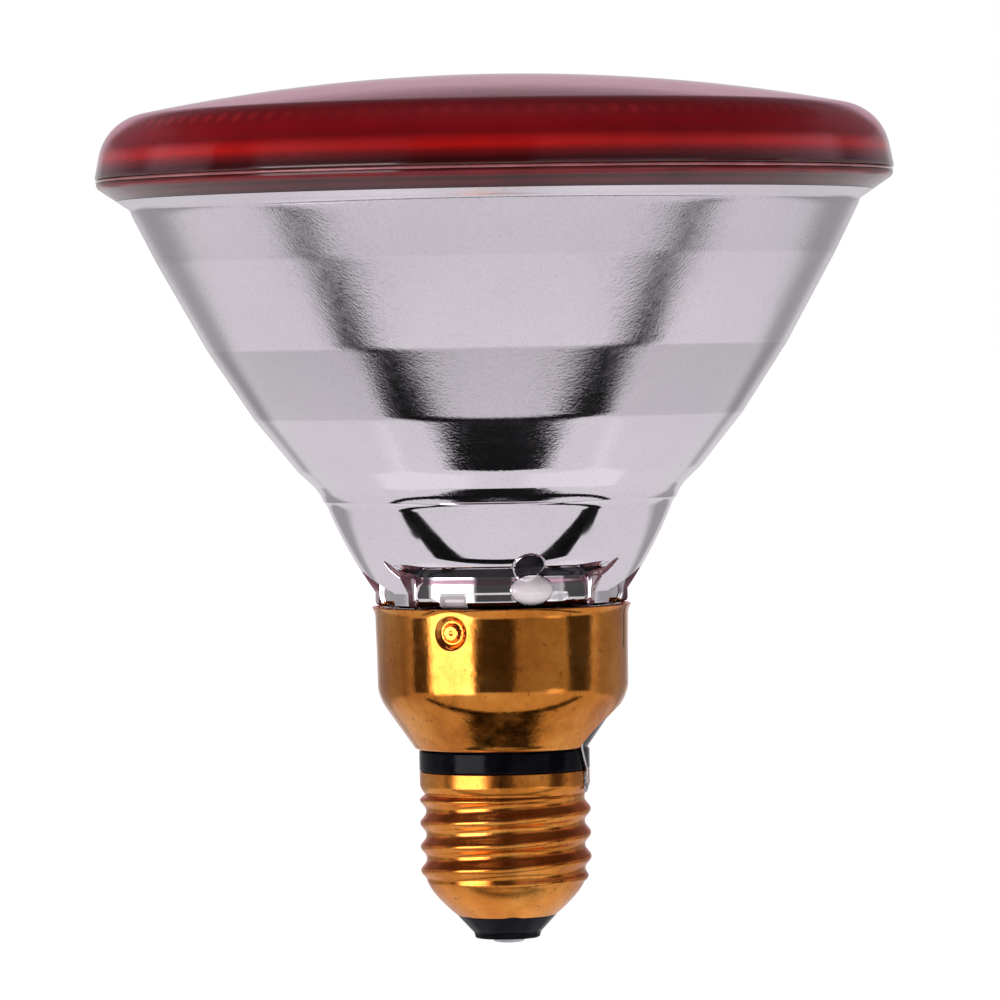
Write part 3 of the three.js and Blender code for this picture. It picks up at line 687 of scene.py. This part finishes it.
def banded_bowl():
    """The flat-sided bands, with their corners rounded over a fraction of a millimetre."""
    made = []
    corners = np.array(BAND_CORNERS)
    for i, corner in enumerate(corners):
        for side in (-0.7, -0.25, 0.25, 0.7):
            ahead = 1 if side > 0 else -1
            if not 0 <= i + ahead < len(corners):
                continue
            along = corners[i + ahead] - corner
            made.append(tuple(corner + along / np.hypot(*along) * abs(side)))
    return [BAND_CORNERS[0], *made, BAND_CORNERS[-1]]


def make_reflector_film():
    """The bowl's wall as one silvered body, from its outer face to the mirror face inside.

    It stands for the film and for the clear glass over it, so it is as thick as the glass.
    """
    low = refined([(17.0, 51.78), (18.4, 51.8), (19.2, 52.2), (19.3, 52.6), (19.3, 54)], 0.14)
    neck = bow((19.3, 54), (23.6, 60.25), (26.2, 66.7), 110)
    # A small step marks the top of the neck, and the lowest band starts with a hollow fillet.
    crease = chain(
        bow((26.2, 66.7), (26.48, 67.42), (26.72, 67.68), 8),
        bow((26.72, 67.68), (26.96, 67.84), (27.0, 67.95), 6),
        bow((27.0, 67.95), (27.09, 68.24), (27.26, 68.6), 8),
        bow((27.26, 68.6), (27.37, 68.83), (27.51, 69.05), 6),
        bow((27.51, 69.05), (27.87, 69.6), BAND_CORNERS[0], 12),
    )
    # The film's upper edge rolls over to meet the flange.
    top = chain(
        bow(BAND_CORNERS[-1], (55.5, 112.2), (55.6, 112.6), 10),
        bow((55.6, 112.6), (55.75, 112.95), (56.4, 113.3), 8),
        line((56.4, 113.3), (57.7, 114.2), 6),
        [(57.6, 114.3), (55.9, 113.2), (54.6, 112.95)],
    )
    outside = chain(low, neck, crease, banded_bowl(), top)
    inside = [(r, z) for r, z in reversed(bowl_inside(0.0))]
    profile = chain(outside, inside)
    outer_rows = len(chain(low, neck))
    fillet_rows = len(chain(low, neck, crease))

    def push(azimuth, z, r):
        on_neck = np.zeros_like(r)
        on_neck[:outer_rows] = 1
        on_fillet = np.zeros_like(r)
        on_fillet[outer_rows:fillet_rows] = 1
        # The hollow fillet over the neck is cut straighter at the front and the back than at the sides.
        share = np.clip((BAND_CORNERS[0][1] - z) / 2.2, 0, 1) ** 2.5 * smoothstep(67.62, 67.95, z)
        straighter = -0.34 * share * (1 - smoothstep(8, 34, folded(azimuth)))
        return neck_push(azimuth, z, r) * on_neck + straighter * on_fillet

    film = turned("reflector_film", profile, 960, push, sharp=40)
    paint_neck(film)
    return film


def paint_neck(film):
    """Gives the faces of the pockets, lugs and marks their finishes: a mirror on the pockets' back walls,
    painted mauve reflection on the lugs' sloping sides and the grooves, painted shade on the pockets'
    ceilings and the stub, and painted white reflection in the crimp notches and on the pip, all standing for
    what thick glass shows.
    """
    mesh = film.data
    for material in (FILM, NECK_MIRROR, NECK_PAINTED_MAUVE_REFLECTION, NECK_PAINTED_SHADE, NECK_PAINTED_WHITE_REFLECTION):
        mesh.materials.append(material)
    count = len(mesh.polygons)
    centres, normals = np.zeros(count * 3), np.zeros(count * 3)
    mesh.polygons.foreach_get("center", centres)
    mesh.polygons.foreach_get("normal", normals)
    x, y, z = (centres.reshape(-1, 3) / MM).T
    r = np.hypot(x, y)
    azimuth = np.degrees(np.arctan2(x, -y))
    facing_out = normals.reshape(-1, 3)[:, 0] * x + normals.reshape(-1, 3)[:, 1] * y > -2
    inner = np.interp(z, [p[1] for p in bowl_inside(0.0)], [p[0] for p in bowl_inside(0.0)])
    outer = (z < 60.3) & (z > 51.85) & (r > inner + 0.45) & facing_out
    lug = lug_weight(azimuth, z)
    pocket = outer & (lug < 0.5) & (r < pocket_wall(z) + 0.12)
    index = np.zeros(count, dtype=np.int32)
    index[pocket & (z < POCKET_TOP)] = 1
    # Painted reflection in mauve on the sloping sides of the lugs.
    index[outer & (lug > 0.5) & (lug < 0.97) & (z < POCKET_TOP + 0.6)] = 2
    # Painted shade in near black on the pockets' sloping ceilings, which face down.
    index[pocket & (z >= POCKET_TOP) & (z < POCKET_TOP + 1.4)] = 3
    # Painted reflection in mauve along the grooves.
    index[outer & (near_groove(azimuth, z) < 0.22)] = 2
    # Painted reflection in white in the notches over the crimps.
    for centre in CRIMP_AZIMUTHS:
        beside = np.abs(np.radians(turn_between(azimuth, centre)) * SKIRT_RADIUS)
        index[outer & (beside < 2.4) & (z < 53.9)] = 4
    # Painted shade in near black on the stub.
    index[outer & (near_stub(azimuth, z) < 0.9)] = 3
    # Painted reflection in white on the pip.
    index[outer & (near_pip(azimuth, z) < 0.99)] = 4
    mesh.polygons.foreach_set("material_index", index)


def make_flange():
    """The clear glass rim over the silvering, flared out to meet the lens."""
    top = SEAM_HEIGHT - SEAM_HALF - 0.05
    profile = chain(
        [(57.7, 114.32)],
        line((57.78, 114.26), (60.0, 115.75), 6),
        bow((60.0, 115.75), (60.9, 116.25), (60.75, top), 6),
        [(56, top), (54, 114.4), (53.4, 113.2), (55.4, 113.2)],
    )
    return turned("reflector_flange", profile, 480)


def make_heel():
    """The clear glass floor of the bowl and the heel under it that the skirt grips."""
    profile = chain(
        [(0, FLOOR_BOTTOM), (15.4, FLOOR_BOTTOM), (15.4, HEEL_BOTTOM + 0.3)],
        refined(
            [(15.7, HEEL_BOTTOM), (HEEL_RADIUS - 0.3, HEEL_BOTTOM), (HEEL_RADIUS, HEEL_BOTTOM + 0.3)],
            0.3,
        ),
        refined([(HEEL_RADIUS, HEEL_BOTTOM + 0.3), (HEEL_RADIUS, 51.7)], 0.3),
        [(13.5, 51.7), (13.3, FLOOR_TOP), (0, FLOOR_TOP)],
    )

    def push(azimuth, z, r):
        moved = np.zeros_like(r)
        for centre in CRIMP_AZIMUTHS:
            beside = np.abs(np.radians(turn_between(azimuth, centre)) * SKIRT_RADIUS)
            dent = np.hypot(beside, z - CRIMP_HEIGHT)
            moved -= 1.15 * (1 - smoothstep(2.6, 3.6, dent))
            moved -= 0.9 * (1 - smoothstep(1.7, 2.3, beside)) * smoothstep(49.5, 50.5, z) * (dent > 0)
        return np.maximum(moved, -1.15) * (r > 17.9)

    return turned("reflector_heel", profile, 480, push, closed=False, sharp=40)


# ---- Cap ----

def crimp(azimuth, z):
    """A crimp presses a ring into the skirt around a proud disc with a punch mark."""
    depth = 0.0
    for centre in CRIMP_AZIMUTHS:
        across = np.radians(turn_between(azimuth, centre)) * SKIRT_RADIUS
        away = np.hypot(across, z - CRIMP_HEIGHT)
        bowl = 0.7 * (1 - smoothstep(1.8, 2.7, away))
        disc = 0.52 * (1 - smoothstep(1.1, 1.5, away))
        punch = 0.14 * np.exp(-(away / 0.32) ** 2)
        depth = depth + bowl - disc + punch
    return depth


def rim_dip(azimuth, z):
    """The rim is bent in over each crimp."""
    depth = 0.0
    for centre in CRIMP_AZIMUTHS:
        across = np.radians(turn_between(azimuth, centre)) * SKIRT_RADIUS
        depth = depth + 0.55 * np.exp(-(across / 2.1) ** 2) * smoothstep(50.0, 51.6, z)
    return depth


def make_skirt():
    outside = chain(
        [(13.5, 29.9)],
        bow((13.55, 29.95), (13.8, 30.1), (14.0, 30.5), 4),
        line((14.0, 30.5), (17.7, 35.85), 14),
        bow((17.7, 35.85), (18.95, 37.6), (19.15, 39.4), 10),
        line((19.15, 39.4), (SKIRT_RADIUS, 44.6), 10),
        line((SKIRT_RADIUS, 44.6), (SKIRT_RADIUS + 0.12, 50.2), 40),
        bow(
            (SKIRT_RADIUS + 0.12, 50.2),
            (SKIRT_RADIUS + 0.2, 51.0),
            (SKIRT_RADIUS + 0.6, SKIRT_RIM - 0.02),
            10,
        ),
    )
    tip = outside[-1]
    rolled = arc(tip[0] - 0.16, tip[1] - 0.02, 0.16, 20, 200, 6)
    inside = []
    for (r0, z0), (r1, z1) in zip(outside, outside[1:]):
        along = np.array([r1 - r0, z1 - z0])
        normal = np.array([-along[1], along[0]]) / np.hypot(*along)
        inside.append((r0 + normal[0] * SHEET, z0 + normal[1] * SHEET))
    profile = chain(outside, rolled, list(reversed(inside)))

    def push(azimuth, z, r):
        a = np.radians(azimuth)
        wave = 0.035 * np.sin(a * 3 + 0.6) + 0.02 * np.sin(a * 7 + z * 0.25)
        return -crimp(azimuth, z) - rim_dip(azimuth, z) + wave * smoothstep(32, 38, z)

    skirt = turned("skirt_shell", profile, 540, push)
    half = WINDOW_WIDTH / 2
    arch = turned("arch", [(0.001, -12), (half, -12), (half, 12), (0.001, 12)], 48, closed=True)
    turn = Matrix.Rotation(math.radians(WINDOW_AZIMUTH), 4, "Z")
    lay = Matrix.Rotation(math.radians(90), 4, "X")
    arch.data.transform(turn @ Matrix.Translation(Vector((0, -18, WINDOW_TOP - half)) * MM) @ lay)
    box = cutter_block((WINDOW_WIDTH, 14, 7), (0, -16, WINDOW_TOP - half - 3.5), WINDOW_AZIMUTH)
    slit = cutter_block((0.42, 4, 10), (0, -SKIRT_RADIUS, SLIT_BOTTOM + 5), SLIT_AZIMUTH)
    return cut_by(skirt, [arch, box, slit])


def thread_height(azimuth, z):
    """How far the rolled thread stands out from its root, fading at both ends."""
    crest = 22.1 + THREAD_PITCH * (azimuth + 90) / 360
    wave = ((1 + np.cos(2 * np.pi * (z - crest) / THREAD_PITCH)) / 2) ** 1.2
    ends = smoothstep(0, 1, (23.3 - z) / 1.3) * smoothstep(0, 1, (z - 9.0) / 1.6)
    return (THREAD_MAJOR - THREAD_MINOR) * wave * ends


def make_screw_shell():
    collar = THREAD_MAJOR - 0.06
    foot = bow((7.5, 4.2), (11.25, 7.3), (THREAD_MINOR, 9.6), 20)
    wall = line((THREAD_MINOR, 9.6), (THREAD_MINOR, 22.9), 110)
    top = chain(
        bow((THREAD_MINOR, 22.9), (collar - 0.25, 23.4), (collar, 24.3), 10),
        line((collar, 24.3), (collar, CAP_RIM - 0.1), 6),
    )
    outside = chain(foot, wall, top)
    inside = []
    for (r0, z0), (r1, z1) in zip(outside, outside[1:]):
        along = np.array([r1 - r0, z1 - z0])
        normal = np.array([-along[1], along[0]]) / np.hypot(*along)
        inside.append((r0 + normal[0] * SHEET, z0 + normal[1] * SHEET))
    lip = arc(collar - 0.17, CAP_RIM - 0.15, 0.17, 10, 180, 6)
    profile = chain(outside, lip, list(reversed(inside)))
    return turned("screw_shell_wall", profile, 240, lambda azimuth, z, r: thread_height(azimuth, z))


SIDE_ROUTE = (
    (59.5, 15.4, 38.2), (59.5, 15.9, 36.6), (60, 15.3, 34.6), (60.5, 14.2, 32.6), (60.5, 13.55, 30.6),
    (62.5, 13.5, 29), (66, 13.5, 27.4), (68.5, 13.5, CAP_RIM), (69.3, 13.45, 24.6),
)


def make_ring_insulator():
    profile = chain(
        [(6, 23.6), (11.6, 23.6), (12.3, 24.4), (12.3, CAP_RIM + 0.1)],
        arc(12.85, CAP_RIM + 0.3, 0.2, -90, 0, 4),
        line((13.05, CAP_RIM + 0.4), (13.05, 29.3), 6),
        arc(12.85, 29.4, 0.2, 0, 60, 4),
        [(12.8, 29.8)],
        line((12.8, 29.9), (16.75, 35.5), 12),
        [(17.4, 37.4), (9, 37.4), (6, 33.5)],
    )

    def groove(azimuth, z, r):
        centre = np.interp(z, (26, 27.4, 29, 30.6, 36), (68.5, 66, 62.5, 60.5, 59.5))
        across = np.abs(np.radians(turn_between(azimuth, centre)) * 13.5)
        return -0.45 * (1 - smoothstep(0.15, 0.6, across)) * (r > 12.4)

    return turned("ring_insulator_body", refined(profile, 0.5), 360, groove)


def make_bottom_insulator():
    profile = chain(
        [(3.4, 0.8)],
        line((3.4, 0.75), (4.6, 0.72), 2),
        arc(4.6, 1.12, 0.4, -90, 0, 5),
        bow((5.0, 1.12), (5.1, 1.7), (5.5, 2.0), 5),
        line((5.5, 2.0), (7.35, 4.0), 8),
        [(7.8, 4.6), (10.2, 8.0), (1.7, 8.3), (1.7, 1.3), (3.4, 1.3)],
    )

    def wobble(azimuth, z, r):
        a = np.radians(azimuth)
        return np.where(r > 4, 0.05 * np.sin(a * 5 + 1) + 0.03 * np.sin(a * 13), 0)

    return turned("bottom_insulator_body", profile, 180, wobble)


def make_tip_solder():
    profile = chain(
        [(0, 0), (1.3, 0.0)],
        bow((1.3, 0.0), (2.2, 0.02), (2.45, 0.3), 6),
        bow((2.45, 0.3), (2.5, 0.55), (2.9, 0.62), 4),
        [(2.9, 0.68), (0, 0.68)],
    )

    def wobble(azimuth, z, r):
        a = np.radians(azimuth)
        return np.where(r > 1.4, 0.16 * np.sin(a) + 0.1 * np.sin(2 * a + 1) + 0.05 * np.sin(5 * a), 0)

    return turned("tip_solder_blob", profile, 96, wobble, closed=False)


def make_side_solder():
    """A smear of solder that runs from the shell's rim down its collar."""
    rows, columns = 18, 24
    points = np.zeros((rows, columns, 3))
    for j in range(rows):
        t = j / (rows - 1)
        along = CAP_RIM + 0.25 - 3.6 * t
        swell = math.sin(math.pi * (0.04 + 0.92 * t)) ** 0.55
        lean = 69.5 + 0.8 * math.sin(3 * t)
        for i in range(columns):
            a = 2 * math.pi * i / columns
            lump = 1 + 0.12 * math.sin(3 * a + 5 * t) + 0.1 * math.sin(9 * t)
            across = 0.62 * swell * lump * math.cos(a)
            out = 13.12 + 0.36 * swell * lump * math.sin(a)
            turn = math.radians(lean) + across / 13.1
            points[j, i] = (out * math.sin(turn), -out * math.cos(turn), along)
    bm = bmesh.new()
    verts = [[bm.verts.new(p * MM) for p in row] for row in points]
    for low, high in zip(verts, verts[1:]):
        for i in range(columns):
            n = (i + 1) % columns
            bm.faces.new([low[i], low[n], high[n], high[i]])
    bm.faces.new(verts[0])
    bm.faces.new(verts[-1])
    return finish_mesh("side_solder_smear", bm, 60)


def make_side_wire():
    start = [
        place(70, 7.5, 42.3), place(70, 7.9, 41), place(66, 10.5, 39.4), place(61, 14, 39.2),
    ]
    route = start + [place(*p) for p in SIDE_ROUTE[1:]]
    path = smooth_path(route, 8)
    return tube("side_lead", path, [0.2] * len(path), 14)


piece(make_lens(), RUBY, "ruby_glass", "lens")
piece(make_rim_seal(), SEAL, "clear_glass", "rim_seal")
film = make_reflector_film()
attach(film, "root")
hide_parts("reflector_mirror")
piece(make_flange(), FLANGE, "clear_glass", "reflector_glass")
piece(make_heel(), CLEAR, "clear_glass", "reflector_glass")
piece(make_skirt(), BRASS, "brass", "skirt")
piece(make_screw_shell(), WORN_BRASS, "brass", "screw_shell")
piece(make_ring_insulator(), BLACK, "black_glass", "ring_insulator")
piece(make_bottom_insulator(), BLACK, "black_glass", "bottom_insulator")
piece(make_tip_solder(), SOLDER, "solder", "tip_solder")
piece(make_side_solder(), SOLDER, "solder", "side_solder")
piece(make_side_wire(), NICKEL, "nickel", "side_wire")

# ---- The CAD pieces inside the lamp keep their shapes ----

KEPT = {
    "exhaust_tip": CLEAR, "bridge_bead": CLEAR, "fuse_sleeve": CLEAR,
    "ferrule_side": NICKEL, "ferrule_centre": NICKEL, "lead_post_side": NICKEL, "lead_post_centre": NICKEL,
    "filament_clamp_side": NICKEL, "filament_clamp_centre": NICKEL, "centre_wire": NICKEL,
    "ferrule_braze_side": BRASS, "ferrule_braze_centre": BRASS, "centre_contact": BRASS,
    "filament": TUNGSTEN, "support_wire": TUNGSTEN,
}
for name, material in KEPT.items():
    slots = NODES[name].data.materials
    slots.clear()
    slots.append(material)


# ---- Studio ----

CAMERA_DISTANCE = 1.02
EYE_HEIGHT = 0.0919
AIM_HEIGHT = 0.0677
LEAN = 1.0
CARD_HALF_WIDTH = 1.5
CARD_NEAR_EDGE, CARD_FAR_EDGE = -0.32, -0.1475
CARD_HEIGHT = -0.77
BACKDROP_RADIUS = 7.0


def make_camera():
    data = bpy.data.cameras.new("camera")
    data.lens = 240.2
    data.sensor_width = 36
    data.clip_start = 0.01
    camera = bpy.data.objects.new("camera", data)
    pitch = math.atan2(EYE_HEIGHT - AIM_HEIGHT, CAMERA_DISTANCE)
    turn = Matrix.Rotation(math.radians(90) - pitch, 4, "X") @ Matrix.Rotation(math.radians(-LEAN), 4, "Z")
    camera.matrix_world = Matrix.Translation((0, -CAMERA_DISTANCE, EYE_HEIGHT)) @ turn
    bpy.context.scene.collection.objects.link(camera)
    bpy.context.scene.camera = camera


def make_floor():
    bm = bmesh.new()
    bmesh.ops.create_circle(bm, cap_ends=True, segments=96, radius=6.0)
    mesh = bpy.data.meshes.new("floor")
    bm.to_mesh(mesh)
    bm.free()
    floor = bpy.data.objects.new("floor", mesh)
    floor.location.z = -0.0003
    n = Nodes("floor_paper")
    colour = n.ramp(n.noise(30, 2), (0.4, (0.93, 0.93, 0.93)), (0.6, (0.95, 0.95, 0.95)))
    n.set(Base_Color=colour, Roughness=1.0)
    n.set(Specular_IOR_Level=0.0, Emission_Color=(1.0, 1.0, 1.0), Emission_Strength=0.93)
    mesh.materials.append(n.material)
    bpy.context.scene.collection.objects.link(floor)
    # The lamp mirrors the light tent below it, and not the paper it stands on.
    floor.visible_glossy = False
    floor.visible_transmission = False


def make_world():
    """Light that falls off with height, with lighter and darker patches at set directions."""
    world = bpy.data.worlds.new("studio")
    bpy.context.scene.world = world
    world.use_nodes = True
    tree = world.node_tree
    background = tree.nodes["Background"]

    def math_node(operation, a, b):
        node = tree.nodes.new("ShaderNodeMath")
        node.operation = operation
        for i, value in enumerate((a, b)):
            if isinstance(value, (int, float)):
                node.inputs[i].default_value = value
            else:
                tree.links.new(value, node.inputs[i])
        return node.outputs[0]

    def band(value, low, high, soft):
        """1 from low to high, with soft edges."""
        rise = tree.nodes.new("ShaderNodeMapRange")
        fall = tree.nodes.new("ShaderNodeMapRange")
        edges = ((rise, low - soft, low + soft, 0, 1), (fall, high - soft, high + soft, 1, 0))
        for node, start, end, a, b in edges:
            node.interpolation_type = "SMOOTHSTEP"
            tree.links.new(value, node.inputs["Value"])
            node.inputs["From Min"].default_value = start
            node.inputs["From Max"].default_value = end
            node.inputs["To Min"].default_value = a
            node.inputs["To Max"].default_value = b
        return math_node("MULTIPLY", rise.outputs["Result"], fall.outputs["Result"])

    def towards(light, mask, level):
        """Draws the light to a level inside a mask."""
        away = math_node("SUBTRACT", 1.0, mask)
        return math_node("ADD", math_node("MULTIPLY", light, away), math_node("MULTIPLY", mask, level))

    def window(azimuths, heights, soft_azimuth=2, soft_height=3):
        across = band(azimuth, *azimuths, soft_azimuth)
        return math_node("MULTIPLY", across, band(height, *heights, soft_height))

    where = tree.nodes.new("ShaderNodeTexCoord").outputs["Generated"]
    split = tree.nodes.new("ShaderNodeSeparateXYZ")
    tree.links.new(where, split.inputs[0])
    x, y, z = split.outputs
    azimuth = math_node("MULTIPLY", math_node("ARCTAN2", x, math_node("MULTIPLY", y, -1.0)), 180 / math.pi)
    height = math_node("MULTIPLY", math_node("ARCSINE", z, 0.0), 180 / math.pi)
    ramp = tree.nodes.new("ShaderNodeValToRGB")
    stops = (
        (-90, 0.76), (-6, 0.68), (0, 0.56), (6, 0.62), (14, 0.74),
        (18.5, 0.4), (24, 0.17), (37, 0.1), (55, 0.08), (90, 0.2),
    )
    fill_ramp(ramp.color_ramp, [((at + 90) / 180, (level,) * 3) for at, level in stops])
    tree.links.new(math_node("DIVIDE", math_node("ADD", height, 90.0), 180.0), ramp.inputs["Fac"])
    light = math_node("MULTIPLY", ramp.outputs["Color"], 1.0)
    aside = math_node("ABSOLUTE", azimuth, 0.0)
    light = towards(light, math_node("MULTIPLY", band(aside, 98, 160, 5), band(height, -20, 9, 3)), 0.36)
    light = towards(light, math_node("MULTIPLY", band(aside, 120, 160, 5), band(height, 9, 32, 3)), 0.22)
    light = towards(light, window((-26, 12), (-16, 32), 3), 0.06)
    light = towards(light, window((-91, -74), (-16, 32)), 0.08)
    light = towards(light, window((12, 60), (-18, 14), 4), 0.38)
    light = towards(light, window((62, 90), (-18, 14)), 0.07)
    light = towards(light, window((-70, -28), (-22, 10)), 4.8)
    light = towards(light, window((41, 58), (-24, -10)), 1.3)
    # Two pools of light on the ground behind the lamp brighten the flanks of the bowl.
    ahead = math_node("DIVIDE", y, math_node("MINIMUM", z, -0.0001))
    beside = math_node("ABSOLUTE", math_node("DIVIDE", x, math_node("MINIMUM", z, -0.0001)), 0.0)
    below = band(height, -91, -14, 3)
    pools = math_node("MULTIPLY", band(ahead, -0.55, -0.06, 0.05), band(beside, 0.12, 0.62, 0.06))
    light = towards(light, math_node("MULTIPLY", pools, below), 0.86)
    tree.links.new(light, background.inputs["Strength"])
    # The wall behind glows mauve over the horizon; all else is a faintly cool white.
    tint = tree.nodes.new("ShaderNodeValToRGB")
    cool, mauve = (1.0, 0.975, 1.0), (1.0, 0.66, 0.79)
    hues = ((-90, cool), (3, cool), (9, mauve), (90, mauve))
    fill_ramp(tint.color_ramp, [((at + 90) / 180, hue) for at, hue in hues])
    tree.links.new(math_node("DIVIDE", math_node("ADD", height, 90.0), 180.0), tint.inputs["Fac"])
    tree.links.new(tint.outputs["Color"], background.inputs["Color"])


def make_card():
    """A black card under and in front of the lamp, which only its shine sees."""
    bm = bmesh.new()
    half, near, far = CARD_HALF_WIDTH, CARD_NEAR_EDGE, CARD_FAR_EDGE
    corners = [(-half, near, 0), (half, near, 0), (half, far, 0), (-half, far, 0)]
    bm.faces.new([bm.verts.new(p) for p in corners])
    mesh = bpy.data.meshes.new("card")
    bm.to_mesh(mesh)
    bm.free()
    card = bpy.data.objects.new("card", mesh)
    card.location.z = CARD_HEIGHT
    n = Nodes("card_black")
    colour = n.ramp(n.noise(3, 1), (0.4, (0.003, 0.003, 0.003)), (0.6, (0.005, 0.005, 0.005)))
    n.set(Base_Color=colour, Roughness=1.0)
    n.set(Specular_IOR_Level=0.0)
    mesh.materials.append(n.material)
    bpy.context.scene.collection.objects.link(card)
    for flag in ("visible_camera", "visible_diffuse", "visible_shadow"):
        setattr(card, flag, False)


def make_backdrop():
    """A white dome that only the camera sees, so every view has the same plain ground."""
    bm = bmesh.new()
    bmesh.ops.create_uvsphere(bm, u_segments=64, v_segments=32, radius=BACKDROP_RADIUS)
    mesh = bpy.data.meshes.new("backdrop")
    bm.to_mesh(mesh)
    bm.free()
    dome = bpy.data.objects.new("backdrop", mesh)
    material = bpy.data.materials.new("backdrop_white")
    material.use_nodes = True
    tree = material.node_tree
    tree.nodes.clear()
    glow = tree.nodes.new("ShaderNodeEmission")
    glow.inputs["Color"].default_value = (1, 1, 1, 1)
    out = tree.nodes.new("ShaderNodeOutputMaterial")
    tree.links.new(glow.outputs[0], out.inputs[0])
    mesh.materials.append(material)
    bpy.context.scene.collection.objects.link(dome)
    for ray in ("diffuse", "glossy", "transmission", "volume_scatter", "shadow"):
        setattr(dome, "visible_" + ray, False)


make_camera()
make_floor()
make_card()
make_world()
make_backdrop()
bpy.context.scene.view_settings.view_transform = "Standard"
